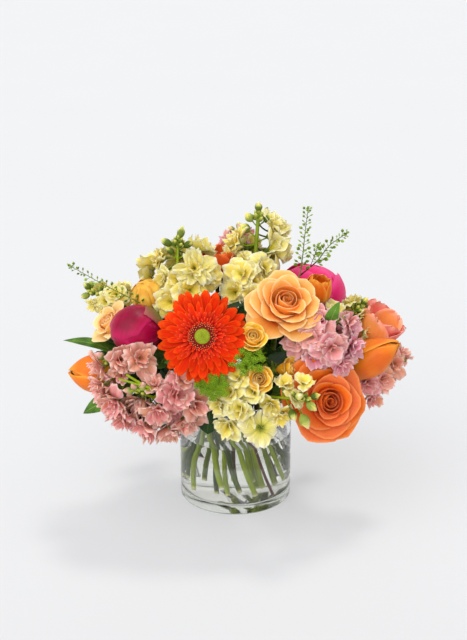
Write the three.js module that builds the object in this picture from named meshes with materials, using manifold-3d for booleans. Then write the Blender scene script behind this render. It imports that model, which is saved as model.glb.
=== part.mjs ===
// A mixed bouquet in a clear glass cylinder of water: one orange-red gerbera at the front, two large roses,
// a peony bud and an open peony, tulips, yellow spray roses, stems of double stock in cream and pink,
// fine seed-pod sprays and green umbels. Every stem stands in the water, and the stems lean past each
// other like a hand-tied spiral: each ring of stems lies on a waisted surface, so no two of them cross.
//
// Millimetres, +Z up, origin at the middle of the underside of the glass. -Y is the front.
import * as THREE from "three";
import { mergeVertices } from "three/addons/utils/BufferGeometryUtils.js";
import Module from "manifold-3d";

const wasm = await Module();
wasm.setup();

// ---- Driving dimensions -------------------------------------------------------------------------
const VASE = { radius: 63.5, height: 127, wall: 3.6, floor: 9.5, edge: 3.5, sides: 40 };
const WATER_TOP = 78;
const GAP = 0.35; // running gap between one piece and the next
const WAIST_Z = 121; // where the stems are gathered, just inside the rim
const FOOT_Z = VASE.floor + GAP;
const TWIST = THREE.MathUtils.degToRad(52); // turn of every stem between its waist and its foot
// rings of the gathered stems: radius at the waist and radius at the foot
const RINGS = {
  inner: { waist: 9, foot: 17 },
  middle: { waist: 25, foot: 34 },
  outer: { waist: 43, foot: 49.5 },
};
const STEM_SIDES = 6;

const COLOURS = {
  glass: { color: 0xdfe9e6, roughness: 0.03, metalness: 0 },
  water: { color: 0xe6efe6, roughness: 0.02, metalness: 0 },
  stem: { color: 0x6f8a2c, roughness: 0.55, metalness: 0 },
  leaf: { color: 0x24401a, roughness: 0.5, metalness: 0 },
  gerberaRay: { color: 0xf2410f, roughness: 0.55, metalness: 0 },
  gerberaRing: { color: 0xc4210f, roughness: 0.6, metalness: 0 },
  gerberaEye: { color: 0x8f9a1e, roughness: 0.7, metalness: 0 },
  peach: { color: 0xf9b56a, roughness: 0.5, metalness: 0 },
  orange: { color: 0xf06a2a, roughness: 0.5, metalness: 0 },
  crimson: { color: 0x9c1244, roughness: 0.45, metalness: 0 },
  pink: { color: 0xe8306e, roughness: 0.5, metalness: 0 },
  tulip: { color: 0xe8781c, roughness: 0.45, metalness: 0 },
  tulipRed: { color: 0xd9481a, roughness: 0.5, metalness: 0 },
  coral: { color: 0xf0684c, roughness: 0.5, metalness: 0 },
  yellow: { color: 0xe9bd3a, roughness: 0.5, metalness: 0 },
  cream: { color: 0xf1e6a4, roughness: 0.6, metalness: 0 },
  stockPink: { color: 0xe29c92, roughness: 0.6, metalness: 0 },
  umbel: { color: 0x7fa22a, roughness: 0.6, metalness: 0 },
};

// ---- Joining and cutting ------------------------------------------------------------------------
function solid(geometry) {
  const bare = new THREE.BufferGeometry().setAttribute("position", geometry.getAttribute("position"));
  if (geometry.index) bare.setIndex(geometry.index);
  const merged = mergeVertices(bare.index ? bare.toNonIndexed() : bare, 1e-4);
  return new wasm.Manifold(
    new wasm.Mesh({
      numProp: 3,
      vertProperties: merged.attributes.position.array,
      triVerts: new Uint32Array(merged.index.array),
    }),
  );
}

function geometryOf(body) {
  const mesh = body.getMesh();
  const geometry = new THREE.BufferGeometry();
  geometry.setAttribute("position", new THREE.BufferAttribute(mesh.vertProperties, 3));
  geometry.setIndex(new THREE.BufferAttribute(mesh.triVerts, 1));
  geometry.computeVertexNormals();
  return geometry;
}

const join = (solids) => wasm.Manifold.union(solids);

function largestBody(body) {
  const bodies = body.decompose();
  return bodies.reduce((a, b) => (b.volume() > a.volume() ? b : a));
}

// ---- Shapes -------------------------------------------------------------------------------------
// A seeded draw in -1..1, the same on every run.
function drawer(seed) {
  let state = seed * 7919 + 17;
  return () => {
    state = (state * 1103515245 + 12345) % 2147483648;
    return (state / 2147483648) * 2 - 1;
  };
}

// The frame of a bloom: its own +Z points out of its face, its own origin is at "at".
function frame(at, facing, roll = 0) {
  const turn = new THREE.Quaternion().setFromUnitVectors(
    new THREE.Vector3(0, 0, 1),
    new THREE.Vector3(...facing).normalize(),
  );
  turn.multiply(new THREE.Quaternion().setFromAxisAngle(new THREE.Vector3(0, 0, 1), roll));
  return new THREE.Matrix4().compose(new THREE.Vector3(...at), turn, new THREE.Vector3(1, 1, 1));
}

// A closed blade with a sharp rim: surface(u, v) is its middle sheet, u from -1 to 1 across it and
// v from 0 at its root to 1 at its tip. Both faces are split along the same diagonals.
function blade(surface, across, along, thick) {
  const step = 1e-3;
  const position = [];
  const upper = [];
  const lower = [];
  for (let j = 0; j <= along; j++) {
    upper.push([]);
    lower.push([]);
    for (let i = 0; i <= across; i++) {
      const u = -1 + (2 * i) / across;
      const v = j / along;
      const p = surface(u, v);
      const rim = i === 0 || i === across || j === 0 || j === along;
      if (rim) {
        position.push(p.x, p.y, p.z);
        upper[j].push(position.length / 3 - 1);
        lower[j].push(position.length / 3 - 1);
        continue;
      }
      const du = surface(u + step, v).sub(surface(u - step, v));
      const dv = surface(u, v + step).sub(surface(u, v - step));
      const n = du.cross(dv).normalize().multiplyScalar(thick / 2);
      position.push(p.x + n.x, p.y + n.y, p.z + n.z, p.x - n.x, p.y - n.y, p.z - n.z);
      upper[j].push(position.length / 3 - 2);
      lower[j].push(position.length / 3 - 1);
    }
  }
  const index = [];
  for (let j = 0; j < along; j++)
    for (let i = 0; i < across; i++) {
      const corner = (grid) => [grid[j][i], grid[j][i + 1], grid[j + 1][i + 1], grid[j + 1][i]];
      const [a, b, c, d] = corner(upper);
      const [e, f, g, h] = corner(lower);
      // the diagonal runs from the blade's middle line towards its rim, on both faces alike
      if (i < across / 2) {
        index.push(a, b, d, b, c, d);
        index.push(e, h, f, f, h, g);
      } else {
        index.push(a, b, c, a, c, d);
        index.push(e, g, f, e, h, g);
      }
    }
  const geometry = new THREE.BufferGeometry();
  geometry.setAttribute("position", new THREE.Float32BufferAttribute(position, 3));
  geometry.setIndex(index);
  const body = solid(geometry);
  return body.volume() < 0 ? solid(flipped(geometry)) : body;
}

function flipped(geometry) {
  const index = geometry.index.array;
  for (let i = 0; i < index.length; i += 3) [index[i + 1], index[i + 2]] = [index[i + 2], index[i + 1]];
  return geometry;
}

// A turned body from [radius, z] pairs that start and end on the axis, about its own +Z.
function turned(profile, sides) {
  const points = profile.map(([r, z]) => new THREE.Vector2(r, z));
  const geometry = new THREE.LatheGeometry(points, sides);
  geometry.rotateX(Math.PI / 2); // the lathe turns about Y
  return solid(geometry);
}

const placed = (body, matrix) => body.transform(matrix.elements);
const local = (x, y, z) => new THREE.Vector3(x, y, z);

// ---- Blooms, each in its own frame: +Z out of the face; grow thickens a bloom into a cutter ----------
function gerberaRays({ radius }, grow) {
  const count = 18;
  const rays = [turned([[0, -7 - grow], [11 + grow, -5 - grow], [15 + grow, 0], [0, 1.2 + grow]], 12)];
  for (const layer of [0, 1])
    for (let k = 0; k < count; k++) {
      const angle = (2 * Math.PI * (k + layer / 2)) / count;
      const length = radius * (layer ? 0.9 : 1);
      const rise = layer ? 3.4 : 0;
      rays.push(
        blade(
          (u, v) => {
            const x = 10 + (length + grow - 10) * v;
            const y = u * (grow + (v < 0.6 ? 1.2 + 5.6 * v : 4.56 - 6.6 * (v - 0.6)));
            const z = -1.5 + rise * (0.35 + 0.65 * v) - 4 * v * v + 0.9 * u * u;
            return local(
              x * Math.cos(angle) - y * Math.sin(angle),
              x * Math.sin(angle) + y * Math.cos(angle),
              z,
            );
          },
          2,
          2,
          1.2 + 2 * grow,
        ),
      );
    }
  return join(rays);
}

function gerberaRing({ eye, ring }, grow) {
  const count = 12;
  const inner = eye + GAP;
  const foot = 1.2 + GAP;
  const profile = [[inner, foot], [ring * 0.7, foot], [ring * 0.6, 5.4], [inner, 6.4], [inner, foot]];
  const parts = [turned(profile, 14)];
  for (let k = 0; k < count; k++) {
    const angle = (2 * Math.PI * k) / count;
    const reach = ring * (k % 2 ? 1 : 0.84);
    parts.push(
      blade(
        (u, v) => {
          const r = ring * 0.55 + (reach - ring * 0.55) * v;
          const y = u * (1.7 - 0.9 * v);
          const z = 3.8 + (k % 2 ? 1.4 : 3.2) * v;
          return local(
            r * Math.cos(angle) - y * Math.sin(angle),
            r * Math.sin(angle) + y * Math.cos(angle),
            z,
          );
        },
        2,
        2,
        1.1 + 2 * grow,
      ),
    );
  }
  return join(parts);
}

function gerberaEye({ eye }) {
  return turned([[0, 1.55], [eye, 1.55], [eye, 5.5], [eye * 0.8, 7.4], [eye * 0.35, 6.9], [0, 6]], 11);
}

// A rose: close petals round a bud in the middle, and rings of wider petals that open round it.
function rose({ radius, depth, rings = [3, 5, 6], lengthwise = 3, seed = 1 }, grow) {
  const draw = drawer(seed);
  const base = -depth / 2;
  const bud = [
    [0, base - grow],
    [Math.max(radius * 0.16, 4.6) + grow, base],
    [radius * 0.3 + grow, base + depth * 0.35],
    [radius * 0.24 + grow, base + depth * 0.8],
    [radius * 0.1 + grow, base + depth * 0.94],
    [0, base + depth * 0.84 + grow],
  ];
  const parts = [turned(bud, 7)];
  rings.forEach((count, ring) => {
    const share = (ring + 1) / rings.length;
    const reach = radius * (0.42 + 0.58 * share);
    const rise = depth * (1 - 0.36 * share * share);
    const spread = (Math.PI / count) * 0.97;
    for (let k = 0; k < count; k++) {
      const angle = (2 * Math.PI * (k + 0.5 * (ring % 2))) / count + 0.12 * draw();
      const droop = 0.1 * radius * share * (1 + draw() * 0.3);
      parts.push(
        blade(
          (u, v) => {
            const wide = 0.6 + 0.4 * Math.sin(Math.PI * Math.min(0.5, v * 0.7));
            const a = angle + u * spread * wide;
            const r = radius * 0.1 + (reach - radius * 0.1) * Math.pow(v, 0.85) + grow;
            const lift = rise * Math.sin((Math.PI / 2) * Math.min(1, v * 1.12));
            const z = base + 2 + 4 * (1 - share) + lift
              - droop * v * v * v - 0.12 * radius * u * u * v * share;
            return local(r * Math.cos(a), r * Math.sin(a), z);
          },
          2,
          ring ? lengthwise : 2,
          1.4 + 2 * grow,
        ),
      );
    }
  });
  return join(parts);
}

// Cupped petals that close over each other, for tulips and peonies: every petal is a strip of the
// cup [r(v), z(v)], and each ring of petals lies just outside the one before.
function cupOfPetals({ cup, rings, thick = 1.4, core }, grow) {
  const parts = [turned(core(grow), 8)];
  for (const { count, spread, scale, turn = 0, narrow = 0.35, lean = 0.04, along = 3 } of rings)
    for (let k = 0; k < count; k++) {
      const angle = (2 * Math.PI * k) / count + turn;
      parts.push(
        blade(
          (u, v) => {
            const [r, z] = cup(v);
            const wide = v < 0.55
              ? 0.55 + 0.45 * (v / 0.55)
              : 1 - (1 - narrow) * Math.pow((v - 0.55) / 0.45, 2);
            const a = angle + u * spread * wide;
            const reach = r * scale * (1 + lean * u) + grow;
            return local(reach * Math.cos(a), reach * Math.sin(a), z * (v > 0.5 ? 0.5 + 0.5 * scale : 1));
          },
          2,
          along,
          thick + 2 * grow,
        ),
      );
    }
  return join(parts);
}

function tulip({ radius, length, open = 0 }, grow) {
  const bottom = -length / 2;
  const cup = (v) => {
    const belly = 0.16 + 0.84 * Math.sin(Math.PI * Math.min(0.5, 0.62 * v + 0.04));
    const close = 1 - (0.62 - open) * Math.pow(Math.max(0, v - 0.45) / 0.55, 2);
    return [radius * belly * close, bottom + 3 + (length - 3) * Math.pow(v, 1.15)];
  };
  const core = (g) => [
    [0, bottom - g],
    [radius * 0.34 + g, bottom + 1],
    [radius * 0.5 + g, bottom + 7],
    [0, bottom + 14 + g],
  ];
  const rings = [
    { count: 3, spread: 0.98, scale: 0.84, turn: Math.PI / 3, narrow: 0.3, lean: 0 },
    { count: 3, spread: 0.98, scale: 1, narrow: 0.3, lean: 0.03 },
  ];
  return cupOfPetals({ cup, core, rings }, grow);
}

function peony({ radius, length, open = 0, rings = [4, 5] }, grow) {
  const bottom = -length / 2;
  const cup = (v) => [
    radius * Math.sin(Math.PI * (0.1 + (0.74 - 0.3 * open) * v)) + radius * 0.22 * open * v,
    bottom + 2 + (length - 4) * (0.5 - 0.5 * Math.cos(Math.PI * (0.06 + 0.84 * v))),
  ];
  const core = (g) => [
    [0, bottom - g],
    [radius * 0.36 + g, bottom + 2],
    [radius * 0.66 + g, -length * 0.2],
    [radius * 0.62 + g, length * 0.14],
    [0, length * 0.4 + g],
  ];
  const layers = rings.map((count, i) => ({
    count,
    spread: (Math.PI / count) * 0.97,
    scale: i + 1 < rings.length ? 0.82 : 1,
    turn: i * 0.7,
    narrow: 0.45,
    lean: 0,
  }));
  return cupOfPetals({ cup, core, rings: layers }, grow);
}

// One stock floret in its own frame: a ruffled rosette of notched lobes, with a smaller ruffle above it
// on the large double ones, on a throat that narrows to the stem at "base".
function floret(radius, base, seed, grow) {
  const draw = drawer(seed);
  const lobes = 8;
  const necks = lobes / 2;
  const rows = [{ r: 1, z: 0.02, notch: 0.7 }];
  if (radius > 15.5) rows.push({ r: 0.58, z: 0.32, notch: 0.62 });
  const position = [base.x, base.y, base.z];
  for (let i = 0; i < necks; i++) {
    const a = (2 * Math.PI * i) / necks;
    const r = 0.46 * radius + grow;
    const lean = (0.42 * radius) / Math.hypot(base.x, base.y, base.z);
    position.push(base.x * lean + r * Math.cos(a), base.y * lean + r * Math.sin(a), base.z * lean - grow);
  }
  for (const { r, z, notch } of rows)
    for (let i = 0; i < lobes; i++) {
      const a = (2 * Math.PI * i) / lobes;
      const length = (radius * r + grow) * (i % 2 ? notch : 1) * (1 + 0.07 * draw());
      const height = radius * (z + (i % 2 ? -0.1 : 0.08)) + radius * 0.06 * draw();
      position.push(length * Math.cos(a), length * Math.sin(a), height + (z > 0.2 ? grow : 0));
    }
  position.push(0, 0, radius * (rows.length > 1 ? 0.34 : 0.42) + grow);
  const index = [];
  const neck = (i) => 1 + (i % necks);
  const at = (row, i) => 1 + necks + row * lobes + (i % lobes);
  const top = 1 + necks + rows.length * lobes;
  for (let i = 0; i < necks; i++) {
    index.push(0, neck(i + 1), neck(i), neck(i), neck(i + 1), at(0, 2 * i + 1));
    index.push(neck(i), at(0, 2 * i + 1), at(0, 2 * i), neck(i + 1), at(0, 2 * i + 2), at(0, 2 * i + 1));
  }
  for (let i = 0; i < lobes; i++) {
    for (let row = 0; row + 1 < rows.length; row++) {
      index.push(at(row, i), at(row, i + 1), at(row + 1, i));
      index.push(at(row, i + 1), at(row + 1, i + 1), at(row + 1, i));
    }
    index.push(at(rows.length - 1, i), at(rows.length - 1, i + 1), top);
  }
  const geometry = new THREE.BufferGeometry();
  geometry.setAttribute("position", new THREE.Float32BufferAttribute(position, 3));
  geometry.setIndex(index);
  const body = solid(geometry);
  return body.volume() < 0 ? solid(flipped(geometry)) : body;
}

// A slim bud or seed pod on its stalk: a kite with a ridge on each side, from its root at the origin
// along +Z, widest at three quarters of its length.
function pod(length, width, thick, grow) {
  const w = width / 2 + grow;
  const t = thick / 2 + grow;
  const position = [0, 0, -grow, w, 0, length * 0.74, 0, 0, length + grow, -w, 0, length * 0.74];
  position.push(0, t, length * 0.74, 0, -t, length * 0.74);
  const index = [];
  for (let i = 0; i < 4; i++) index.push(i, (i + 1) % 4, 5, (i + 1) % 4, i, 4);
  const geometry = new THREE.BufferGeometry();
  geometry.setAttribute("position", new THREE.Float32BufferAttribute(position, 3));
  geometry.setIndex(index);
  const body = solid(geometry);
  return body.volume() < 0 ? solid(flipped(geometry)) : body;
}

// A leaf from root to tip, arched by "arch" towards +Z at its middle.
function leafSheet({ root, tip, width, arch = 4, face = [0, 0, 1] }, grow) {
  const a = new THREE.Vector3(...root);
  const b = new THREE.Vector3(...tip);
  const along = b.clone().sub(a).normalize();
  const side = new THREE.Vector3().crossVectors(along, new THREE.Vector3(...face)).normalize();
  const up = new THREE.Vector3().crossVectors(side, along);
  return (u, v) => {
    const w = (width / 2 + grow) * (0.25 + 0.75 * Math.sin(Math.PI * Math.min(1, 0.1 + v * 0.85)));
    return a
      .clone()
      .lerp(b, v)
      .addScaledVector(side, u * w)
      .addScaledVector(up, arch * Math.sin(Math.PI * v) + 0.25 * w * u * u);
  };
}

const leaf = (blades, grow) => blade(leafSheet(blades, grow), 2, 3, 1.4 + 2 * grow);

// The turned envelope of a bloom: what a neighbour has to stay out of.
function envelopeOf(body, sides = 12, bands = 7) {
  const mesh = body.getMesh();
  const v = mesh.vertProperties;
  const { min, max } = body.boundingBox();
  const low = min[2] - GAP;
  const high = max[2] + GAP;
  const reach = new Array(bands).fill(0);
  const band = (z) => Math.max(0, Math.min(bands - 1, Math.floor(((z - low) / (high - low)) * bands)));
  for (let t = 0; t < mesh.triVerts.length; t += 3) {
    const corners = [0, 1, 2].map((i) => 3 * mesh.triVerts[t + i]);
    const heights = corners.map((c) => v[c + 2]);
    const r = Math.max(...corners.map((c) => Math.hypot(v[c], v[c + 1])));
    for (let b = band(Math.min(...heights)); b <= band(Math.max(...heights)); b++) {
      reach[b] = Math.max(reach[b], r);
    }
  }
  const profile = [[0, low]];
  reach.forEach((r, b) => {
    const wide = (r + GAP) / Math.cos(Math.PI / sides);
    profile.push([wide, low + ((high - low) * b) / bands], [wide, low + ((high - low) * (b + 1)) / bands]);
  });
  profile.push([0, high]);
  return turned(profile, sides);
}

// ---- Stems ----------------------------------------------------------------------------------------
// A stem runs straight from its foot to the waist and curves on from there through its upper points.
// Its sampling is even in the parameter, so the straight part takes one length of tube.
class StemPath extends THREE.Curve {
  constructor(foot, waist, upper, steps) {
    super();
    this.foot = foot;
    this.waist = waist;
    this.steps = steps;
    const before = foot.clone().lerp(waist, 0.72);
    this.upper = new THREE.CatmullRomCurve3([before, waist, ...upper], false, "centripetal");
    this.first = 1 / (upper.length + 1);
  }
  getUtoTmapping(u) {
    return u;
  }
  getPoint(t, target = new THREE.Vector3()) {
    const straight = 1 / this.steps;
    if (t <= straight) return target.copy(this.foot).lerp(this.waist, t / straight);
    const s = (t - straight) / (1 - straight);
    return this.upper.getPoint(this.first + (1 - this.first) * s, target);
  }
}

function sweep(path, steps, radius, sides = STEM_SIDES) {
  const section = new THREE.Shape();
  for (let i = 0; i < sides; i++) {
    const a = (2 * Math.PI * i) / sides;
    if (i === 0) section.moveTo(radius, 0);
    else section.lineTo(radius * Math.cos(a), radius * Math.sin(a));
  }
  section.closePath();
  return solid(new THREE.ExtrudeGeometry(section, { steps, extrudePath: path, curveSegments: 1 }));
}

const onRing = (radius, azimuth, z) =>
  new THREE.Vector3(radius * Math.cos(azimuth), radius * Math.sin(azimuth), z);

// Places of the stems round one ring: near the side their bloom is on, spread out evenly by a half.
function placeRound(entries, centre, span) {
  const lead = THREE.MathUtils.degToRad(30);
  entries.forEach((e) => (e.wish = Math.atan2(e.toward[1], e.toward[0]) + lead));
  entries.forEach((e) => {
    while (e.wish > centre + Math.PI) e.wish -= 2 * Math.PI;
    while (e.wish < centre - Math.PI) e.wish += 2 * Math.PI;
  });
  entries.sort((a, b) => a.wish - b.wish);
  const n = entries.length;
  entries.forEach((e, i) => (e.azimuth = 0.5 * e.wish + 0.5 * (centre + span * ((i + 0.5) / n - 0.5))));
}

// ---- The bouquet: every bloom, its place, its face and its stem ------------------------------------
const BLOOMS = {
  rose_peach: {
    make: rose,
    at: [47, -86, 254],
    facing: [0.1, -0.66, 0.74],
    size: { radius: 41, depth: 44, seed: 3 },
    colour: "peach",
    ring: "middle",
  },
  rose_orange: {
    make: rose,
    at: [94, -104, 157],
    facing: [0.25, -0.92, 0.32],
    size: { radius: 41, depth: 44, seed: 8 },
    colour: "orange",
    ring: "outer",
  },
  rose_pale: {
    make: rose,
    at: [-134, -48, 217],
    facing: [-0.6, -0.35, 0.72],
    size: { radius: 25, depth: 34, rings: [3, 4], seed: 5 },
    colour: "peach",
    ring: "middle",
  },
  rose_back: {
    make: rose,
    at: [-70, 90, 172],
    facing: [-0.4, 0.8, 0.4],
    size: { radius: 38, depth: 42, rings: [3, 5], seed: 11 },
    colour: "orange",
    ring: "back",
  },
  peony_left: {
    make: peony,
    at: [-103, -84, 228],
    facing: [-0.6, -0.72, 0.15],
    size: { radius: 26, length: 56, rings: [3, 4] },
    colour: "crimson",
    ring: "middle",
  },
  peony_pink: {
    make: peony,
    at: [85, 30, 230],
    facing: [0.2, 0.1, 0.96],
    size: { radius: 38, length: 68, open: 0.3 },
    colour: "pink",
    ring: "inner",
  },
  peony_back: {
    make: peony,
    at: [24, 104, 166],
    facing: [0.1, 0.85, 0.4],
    size: { radius: 33, length: 58, open: 0.3, rings: [3, 4] },
    colour: "crimson",
    ring: "back",
  },
  tulip_right: {
    make: tulip,
    at: [148, -66, 193],
    facing: [0.83, -0.25, 0.5],
    size: { radius: 17.5, length: 64 },
    colour: "tulip",
    ring: "outer",
  },
  tulip_left: {
    make: tulip,
    at: [-157, -60, 170],
    facing: [-0.92, -0.12, 0.16],
    size: { radius: 19, length: 52 },
    colour: "tulip",
    ring: "outer",
  },
  tulip_top: {
    make: tulip,
    at: [88, -28, 255],
    facing: [0.12, -0.12, 0.98],
    size: { radius: 16, length: 40, open: 0.5 },
    colour: "tulip",
    ring: "inner",
  },
  tulip_red: {
    make: tulip,
    at: [-20, 0, 272],
    facing: [0, -0.05, 1],
    size: { radius: 13, length: 36, open: 0.3 },
    colour: "tulipRed",
    ring: "inner",
  },
  tulip_coral: {
    make: tulip,
    at: [153, -22, 205],
    facing: [0.5, -0.2, 0.84],
    size: { radius: 24, length: 48, open: 0.6 },
    colour: "coral",
    ring: "outer",
  },
  tulip_back: {
    make: tulip,
    at: [118, 74, 178],
    facing: [0.7, 0.6, 0.35],
    size: { radius: 17, length: 56 },
    colour: "tulip",
    ring: "back",
  },
  gold_bud: {
    make: peony,
    at: [-94, -38, 250],
    facing: [-0.3, -0.35, 0.9],
    size: { radius: 15, length: 30, rings: [4] },
    colour: "yellow",
    ring: "middle",
  },
};

const SPRAY = [
  { name: "spray_rose_top", at: [18, -110, 226], facing: [0, -0.7, 0.7], radius: 15 },
  { name: "spray_rose_low", at: [24, -122, 195], facing: [0, -0.9, 0.4], radius: 16.5 },
  { name: "spray_rose_side", at: [47, -108, 194], facing: [0.8, -0.5, 0.3], radius: 14 },
];

// Stocks: the line of the stem through its flowers, the florets as [x, y, z, radius] and the green
// buds at its tip as [x, y, z, length].
const STOCKS = {
  stock_cream_a: {
    ring: "middle",
    colour: "cream",
    line: [[-56, -36, 236], [-62, -32, 268], [-62, -15, 306]],
    florets: [
      [-43, -56, 288, 21], [-48, -62, 266, 17], [-28, -48, 279, 14], [-68, -56, 250, 17], [-86, -14, 280, 18],
      [-94, -16, 264, 14], [-76, -38, 268, 14], [-38, -18, 296, 13], [-62, 4, 284, 14], [-66, 2, 258, 14],
    ],
    buds: [
      [-74, -15, 304, 12], [-59, -12, 314, 12], [-51, -18, 303, 11],
      [-49, -24, 296, 10], [-70, -20, 296, 10],
    ],
  },
  stock_cream_b: {
    ring: "inner",
    colour: "cream",
    line: [[14, -20, 250], [20, -10, 278], [25, 12, 328]],
    florets: [
      [0, 2, 299, 14], [-6, -6, 283, 14], [6, -38, 275, 16], [0, -46, 258, 16], [30, -24, 277, 14],
      [40, 10, 290, 15], [41, 16, 316, 12], [12, 24, 288, 14], [32, 26, 270, 14],
    ],
    buds: [[15, 10, 325, 10], [35, 12, 323, 10], [11, 6, 314, 11], [38, 10, 304, 9], [25, 13, 336, 9]],
  },
  stock_cream_c: {
    ring: "outer",
    colour: "cream",
    line: [[12, -96, 156], [30, -120, 168], [70, -149, 178]],
    florets: [
      [2, -128, 193, 12], [-6, -132, 179, 13], [18, -134, 180, 12], [-17, -126, 163, 13], [4, -140, 164, 13],
      [-8, -126, 139, 15], [25, -130, 139, 19], [50, -130, 186, 11], [46, -136, 155, 12], [68, -144, 195, 10],
    ],
    buds: [
      [76, -152, 172, 11], [70, -148, 154, 14], [58, -146, 160, 11],
      [64, -156, 184, 11], [80, -146, 180, 9],
    ],
  },
  stock_cream_d: {
    ring: "middle",
    colour: "cream",
    line: [[-106, -8, 216], [-124, -8, 230], [-158, -4, 244]],
    florets: [
      [-156, -10, 232, 9], [-141, -16, 238, 11], [-130, -22, 248, 11], [-150, 8, 244, 9], [-124, 2, 246, 11],
      [-132, 14, 226, 12], [-112, 12, 232, 12],
    ],
    buds: [[-163, -2, 250, 9], [-165, -4, 240, 9], [-160, 4, 250, 8]],
  },
  stock_cream_e: {
    ring: "middle",
    colour: "cream",
    line: [[104, -30, 200], [114, -30, 216], [136, -24, 234]],
    florets: [
      [107, -42, 236, 10], [113, -50, 224, 10], [134, -30, 222, 12], [128, -14, 234, 11], [141, -40, 209, 8],
      [122, -4, 216, 12], [140, -10, 218, 10],
    ],
    buds: [[140, -24, 240, 9], [142, -20, 232, 8]],
  },
  stock_pink_a: {
    ring: "outer",
    colour: "stockPink",
    line: [[-100, -84, 160], [-118, -92, 174], [-134, -100, 200]],
    florets: [
      [-119, -112, 206, 14], [-99, -112, 208, 15], [-141, -98, 193, 13],
      [-140, -100, 172, 14], [-127, -108, 158, 15],
      [-120, -102, 140, 15], [-120, -116, 184, 14], [-124, -74, 164, 13], [-108, -76, 146, 13],
    ],
    buds: [[-140, -106, 208, 10], [-128, -108, 206, 9]],
  },
  stock_pink_b: {
    ring: "outer",
    colour: "stockPink",
    line: [[-62, -86, 158], [-74, -100, 156], [-102, -122, 176]],
    florets: [
      [-101, -116, 164, 17], [-94, -106, 130, 16], [-80, -122, 154, 14],
      [-62, -122, 172, 16], [-56, -124, 190, 13],
      [-42, -118, 160, 15], [-72, -108, 127, 15], [-53, -112, 138, 14], [-86, -124, 178, 13],
    ],
    buds: [[-104, -126, 182, 10], [-110, -122, 176, 10], [-96, -128, 184, 10]],
  },
  stock_pink_c: {
    ring: "outer",
    colour: "stockPink",
    line: [[84, -70, 196], [90, -80, 214], [102, -90, 240]],
    florets: [
      [88, -98, 245, 15], [79, -106, 229, 15], [64, -98, 223, 13], [99, -113, 220, 16], [82, -106, 208, 13],
      [117, -90, 237, 13], [121, -94, 215, 15], [110, -104, 199, 13], [108, -66, 222, 13],
    ],
    buds: [[112, -94, 246, 10], [104, -92, 248, 8]],
  },
  stock_pink_d: {
    ring: "outer",
    colour: "stockPink",
    line: [[128, -42, 156], [146, -44, 158], [176, -36, 170]],
    florets: [
      [141, -62, 160, 13], [147, -58, 143, 12], [159, -56, 163, 12], [172, -46, 176, 12], [181, -30, 180, 11],
      [160, -28, 150, 13],
    ],
    buds: [[184, -34, 174, 8], [182, -38, 180, 8]],
  },
  stock_pink_e: {
    ring: "back",
    colour: "stockPink",
    line: [[4, 30, 256], [4, 32, 276], [4, 34, 300]],
    florets: [[-9, 26, 294, 11], [10, 28, 300, 11], [20, 34, 282, 11], [-4, 44, 282, 11], [12, 48, 290, 11]],
    buds: [[4, 36, 308, 8], [-4, 34, 305, 8]],
  },
};

STOCKS.stock_cream_f = {
  ring: "back",
  colour: "cream",
  line: [[-36, 44, 200], [-44, 42, 226], [-50, 36, 256]],
  florets: [
    [-66, 44, 240, 17], [-46, 62, 236, 17], [-24, 50, 246, 16], [-60, 50, 262, 16], [-36, 22, 262, 15],
    [-64, 22, 252, 16],
  ],
  buds: [[-52, 42, 268, 10], [-46, 30, 268, 9]],
};

const THLASPI = {
  thlaspi_left: {
    ring: "middle",
    line: [[-76, -34, 228], [-98, -54, 247], [-138, -48, 266], [-177, -40, 286]],
    from: 0.52,
    pods: 17,
  },
  thlaspi_right: {
    ring: "inner",
    line: [[66, -34, 262], [71, -30, 288], [74, -24, 316], [77, -20, 343]],
    from: 0.6,
    pods: 11,
    branch: [[69, -32, 272], [88, -28, 288], [100, -24, 303], [119, -20, 316]],
    branchPods: 9,
  },
};

const UMBELS = {
  umbel_top: { at: [14, -120, 210], facing: [0, -0.75, 0.66], radius: 19, ring: "middle" },
  umbel_low: { at: [-21, -128, 192], facing: [-0.2, -0.93, 0.3], radius: 14, ring: "outer" },
};

// Leaves by the stem that carries them: from root to tip, turned to show their face to "face".
const LEAVES = {
  tulip_left_stem: [
    { root: [-118, -46, 182], tip: [-187, -40, 202], width: 14, arch: 6, face: [0.1, -0.4, 0.9] },
  ],
  stock_pink_a_stem: [
    { root: [-108, -84, 164], tip: [-166, -70, 128], width: 19, arch: 4, face: [0.2, -0.8, 0.6] },
  ],
  umbel_low: [{ root: [-26, -70, 150], tip: [-31, -80, 107], width: 24, arch: 3, face: [0, -1, 0.1] }],
  tulip_right_stem: [
    { root: [92, -44, 190], tip: [106, -76, 246], width: 17, arch: 4, face: [-0.2, -0.9, 0.4] },
  ],
  rose_peach_stem: [
    { root: [38, -56, 192], tip: [64, -88, 196], width: 22, arch: 3, face: [0, -0.6, 0.8] },
    { root: [36, -50, 180], tip: [-4, -92, 206], width: 22, arch: 3, face: [0, -0.6, 0.8] },
  ],
  rose_orange_stem: [{ root: [64, -62, 150], tip: [34, -96, 158], width: 22, arch: 3, face: [0, -0.8, 0.6] }],
  gerbera_stem: [{ root: [-26, -64, 184], tip: [-74, -92, 196], width: 24, arch: 3, face: [0, -0.8, 0.6] }],
  peony_left_stem: [
    { root: [-66, -54, 204], tip: [-84, -66, 178], width: 24, arch: 3, face: [0, -0.9, 0.4] },
  ],
  peony_pink_stem: [{ root: [64, 18, 190], tip: [104, 62, 186], width: 26, arch: 4, face: [0.3, 0.5, 0.8] }],
};

// ---- Placing everything ------------------------------------------------------------------------------
const vec = (p) => new THREE.Vector3(...p);
const depthOf = (bloom) => bloom.size.depth ?? bloom.size.length;

const GERBERA = {
  at: [-34, -125, 237],
  facing: [0.03, -0.94, 0.35],
  rays: { radius: 46 },
  eye: { eye: 8, ring: 21 },
};

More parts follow.
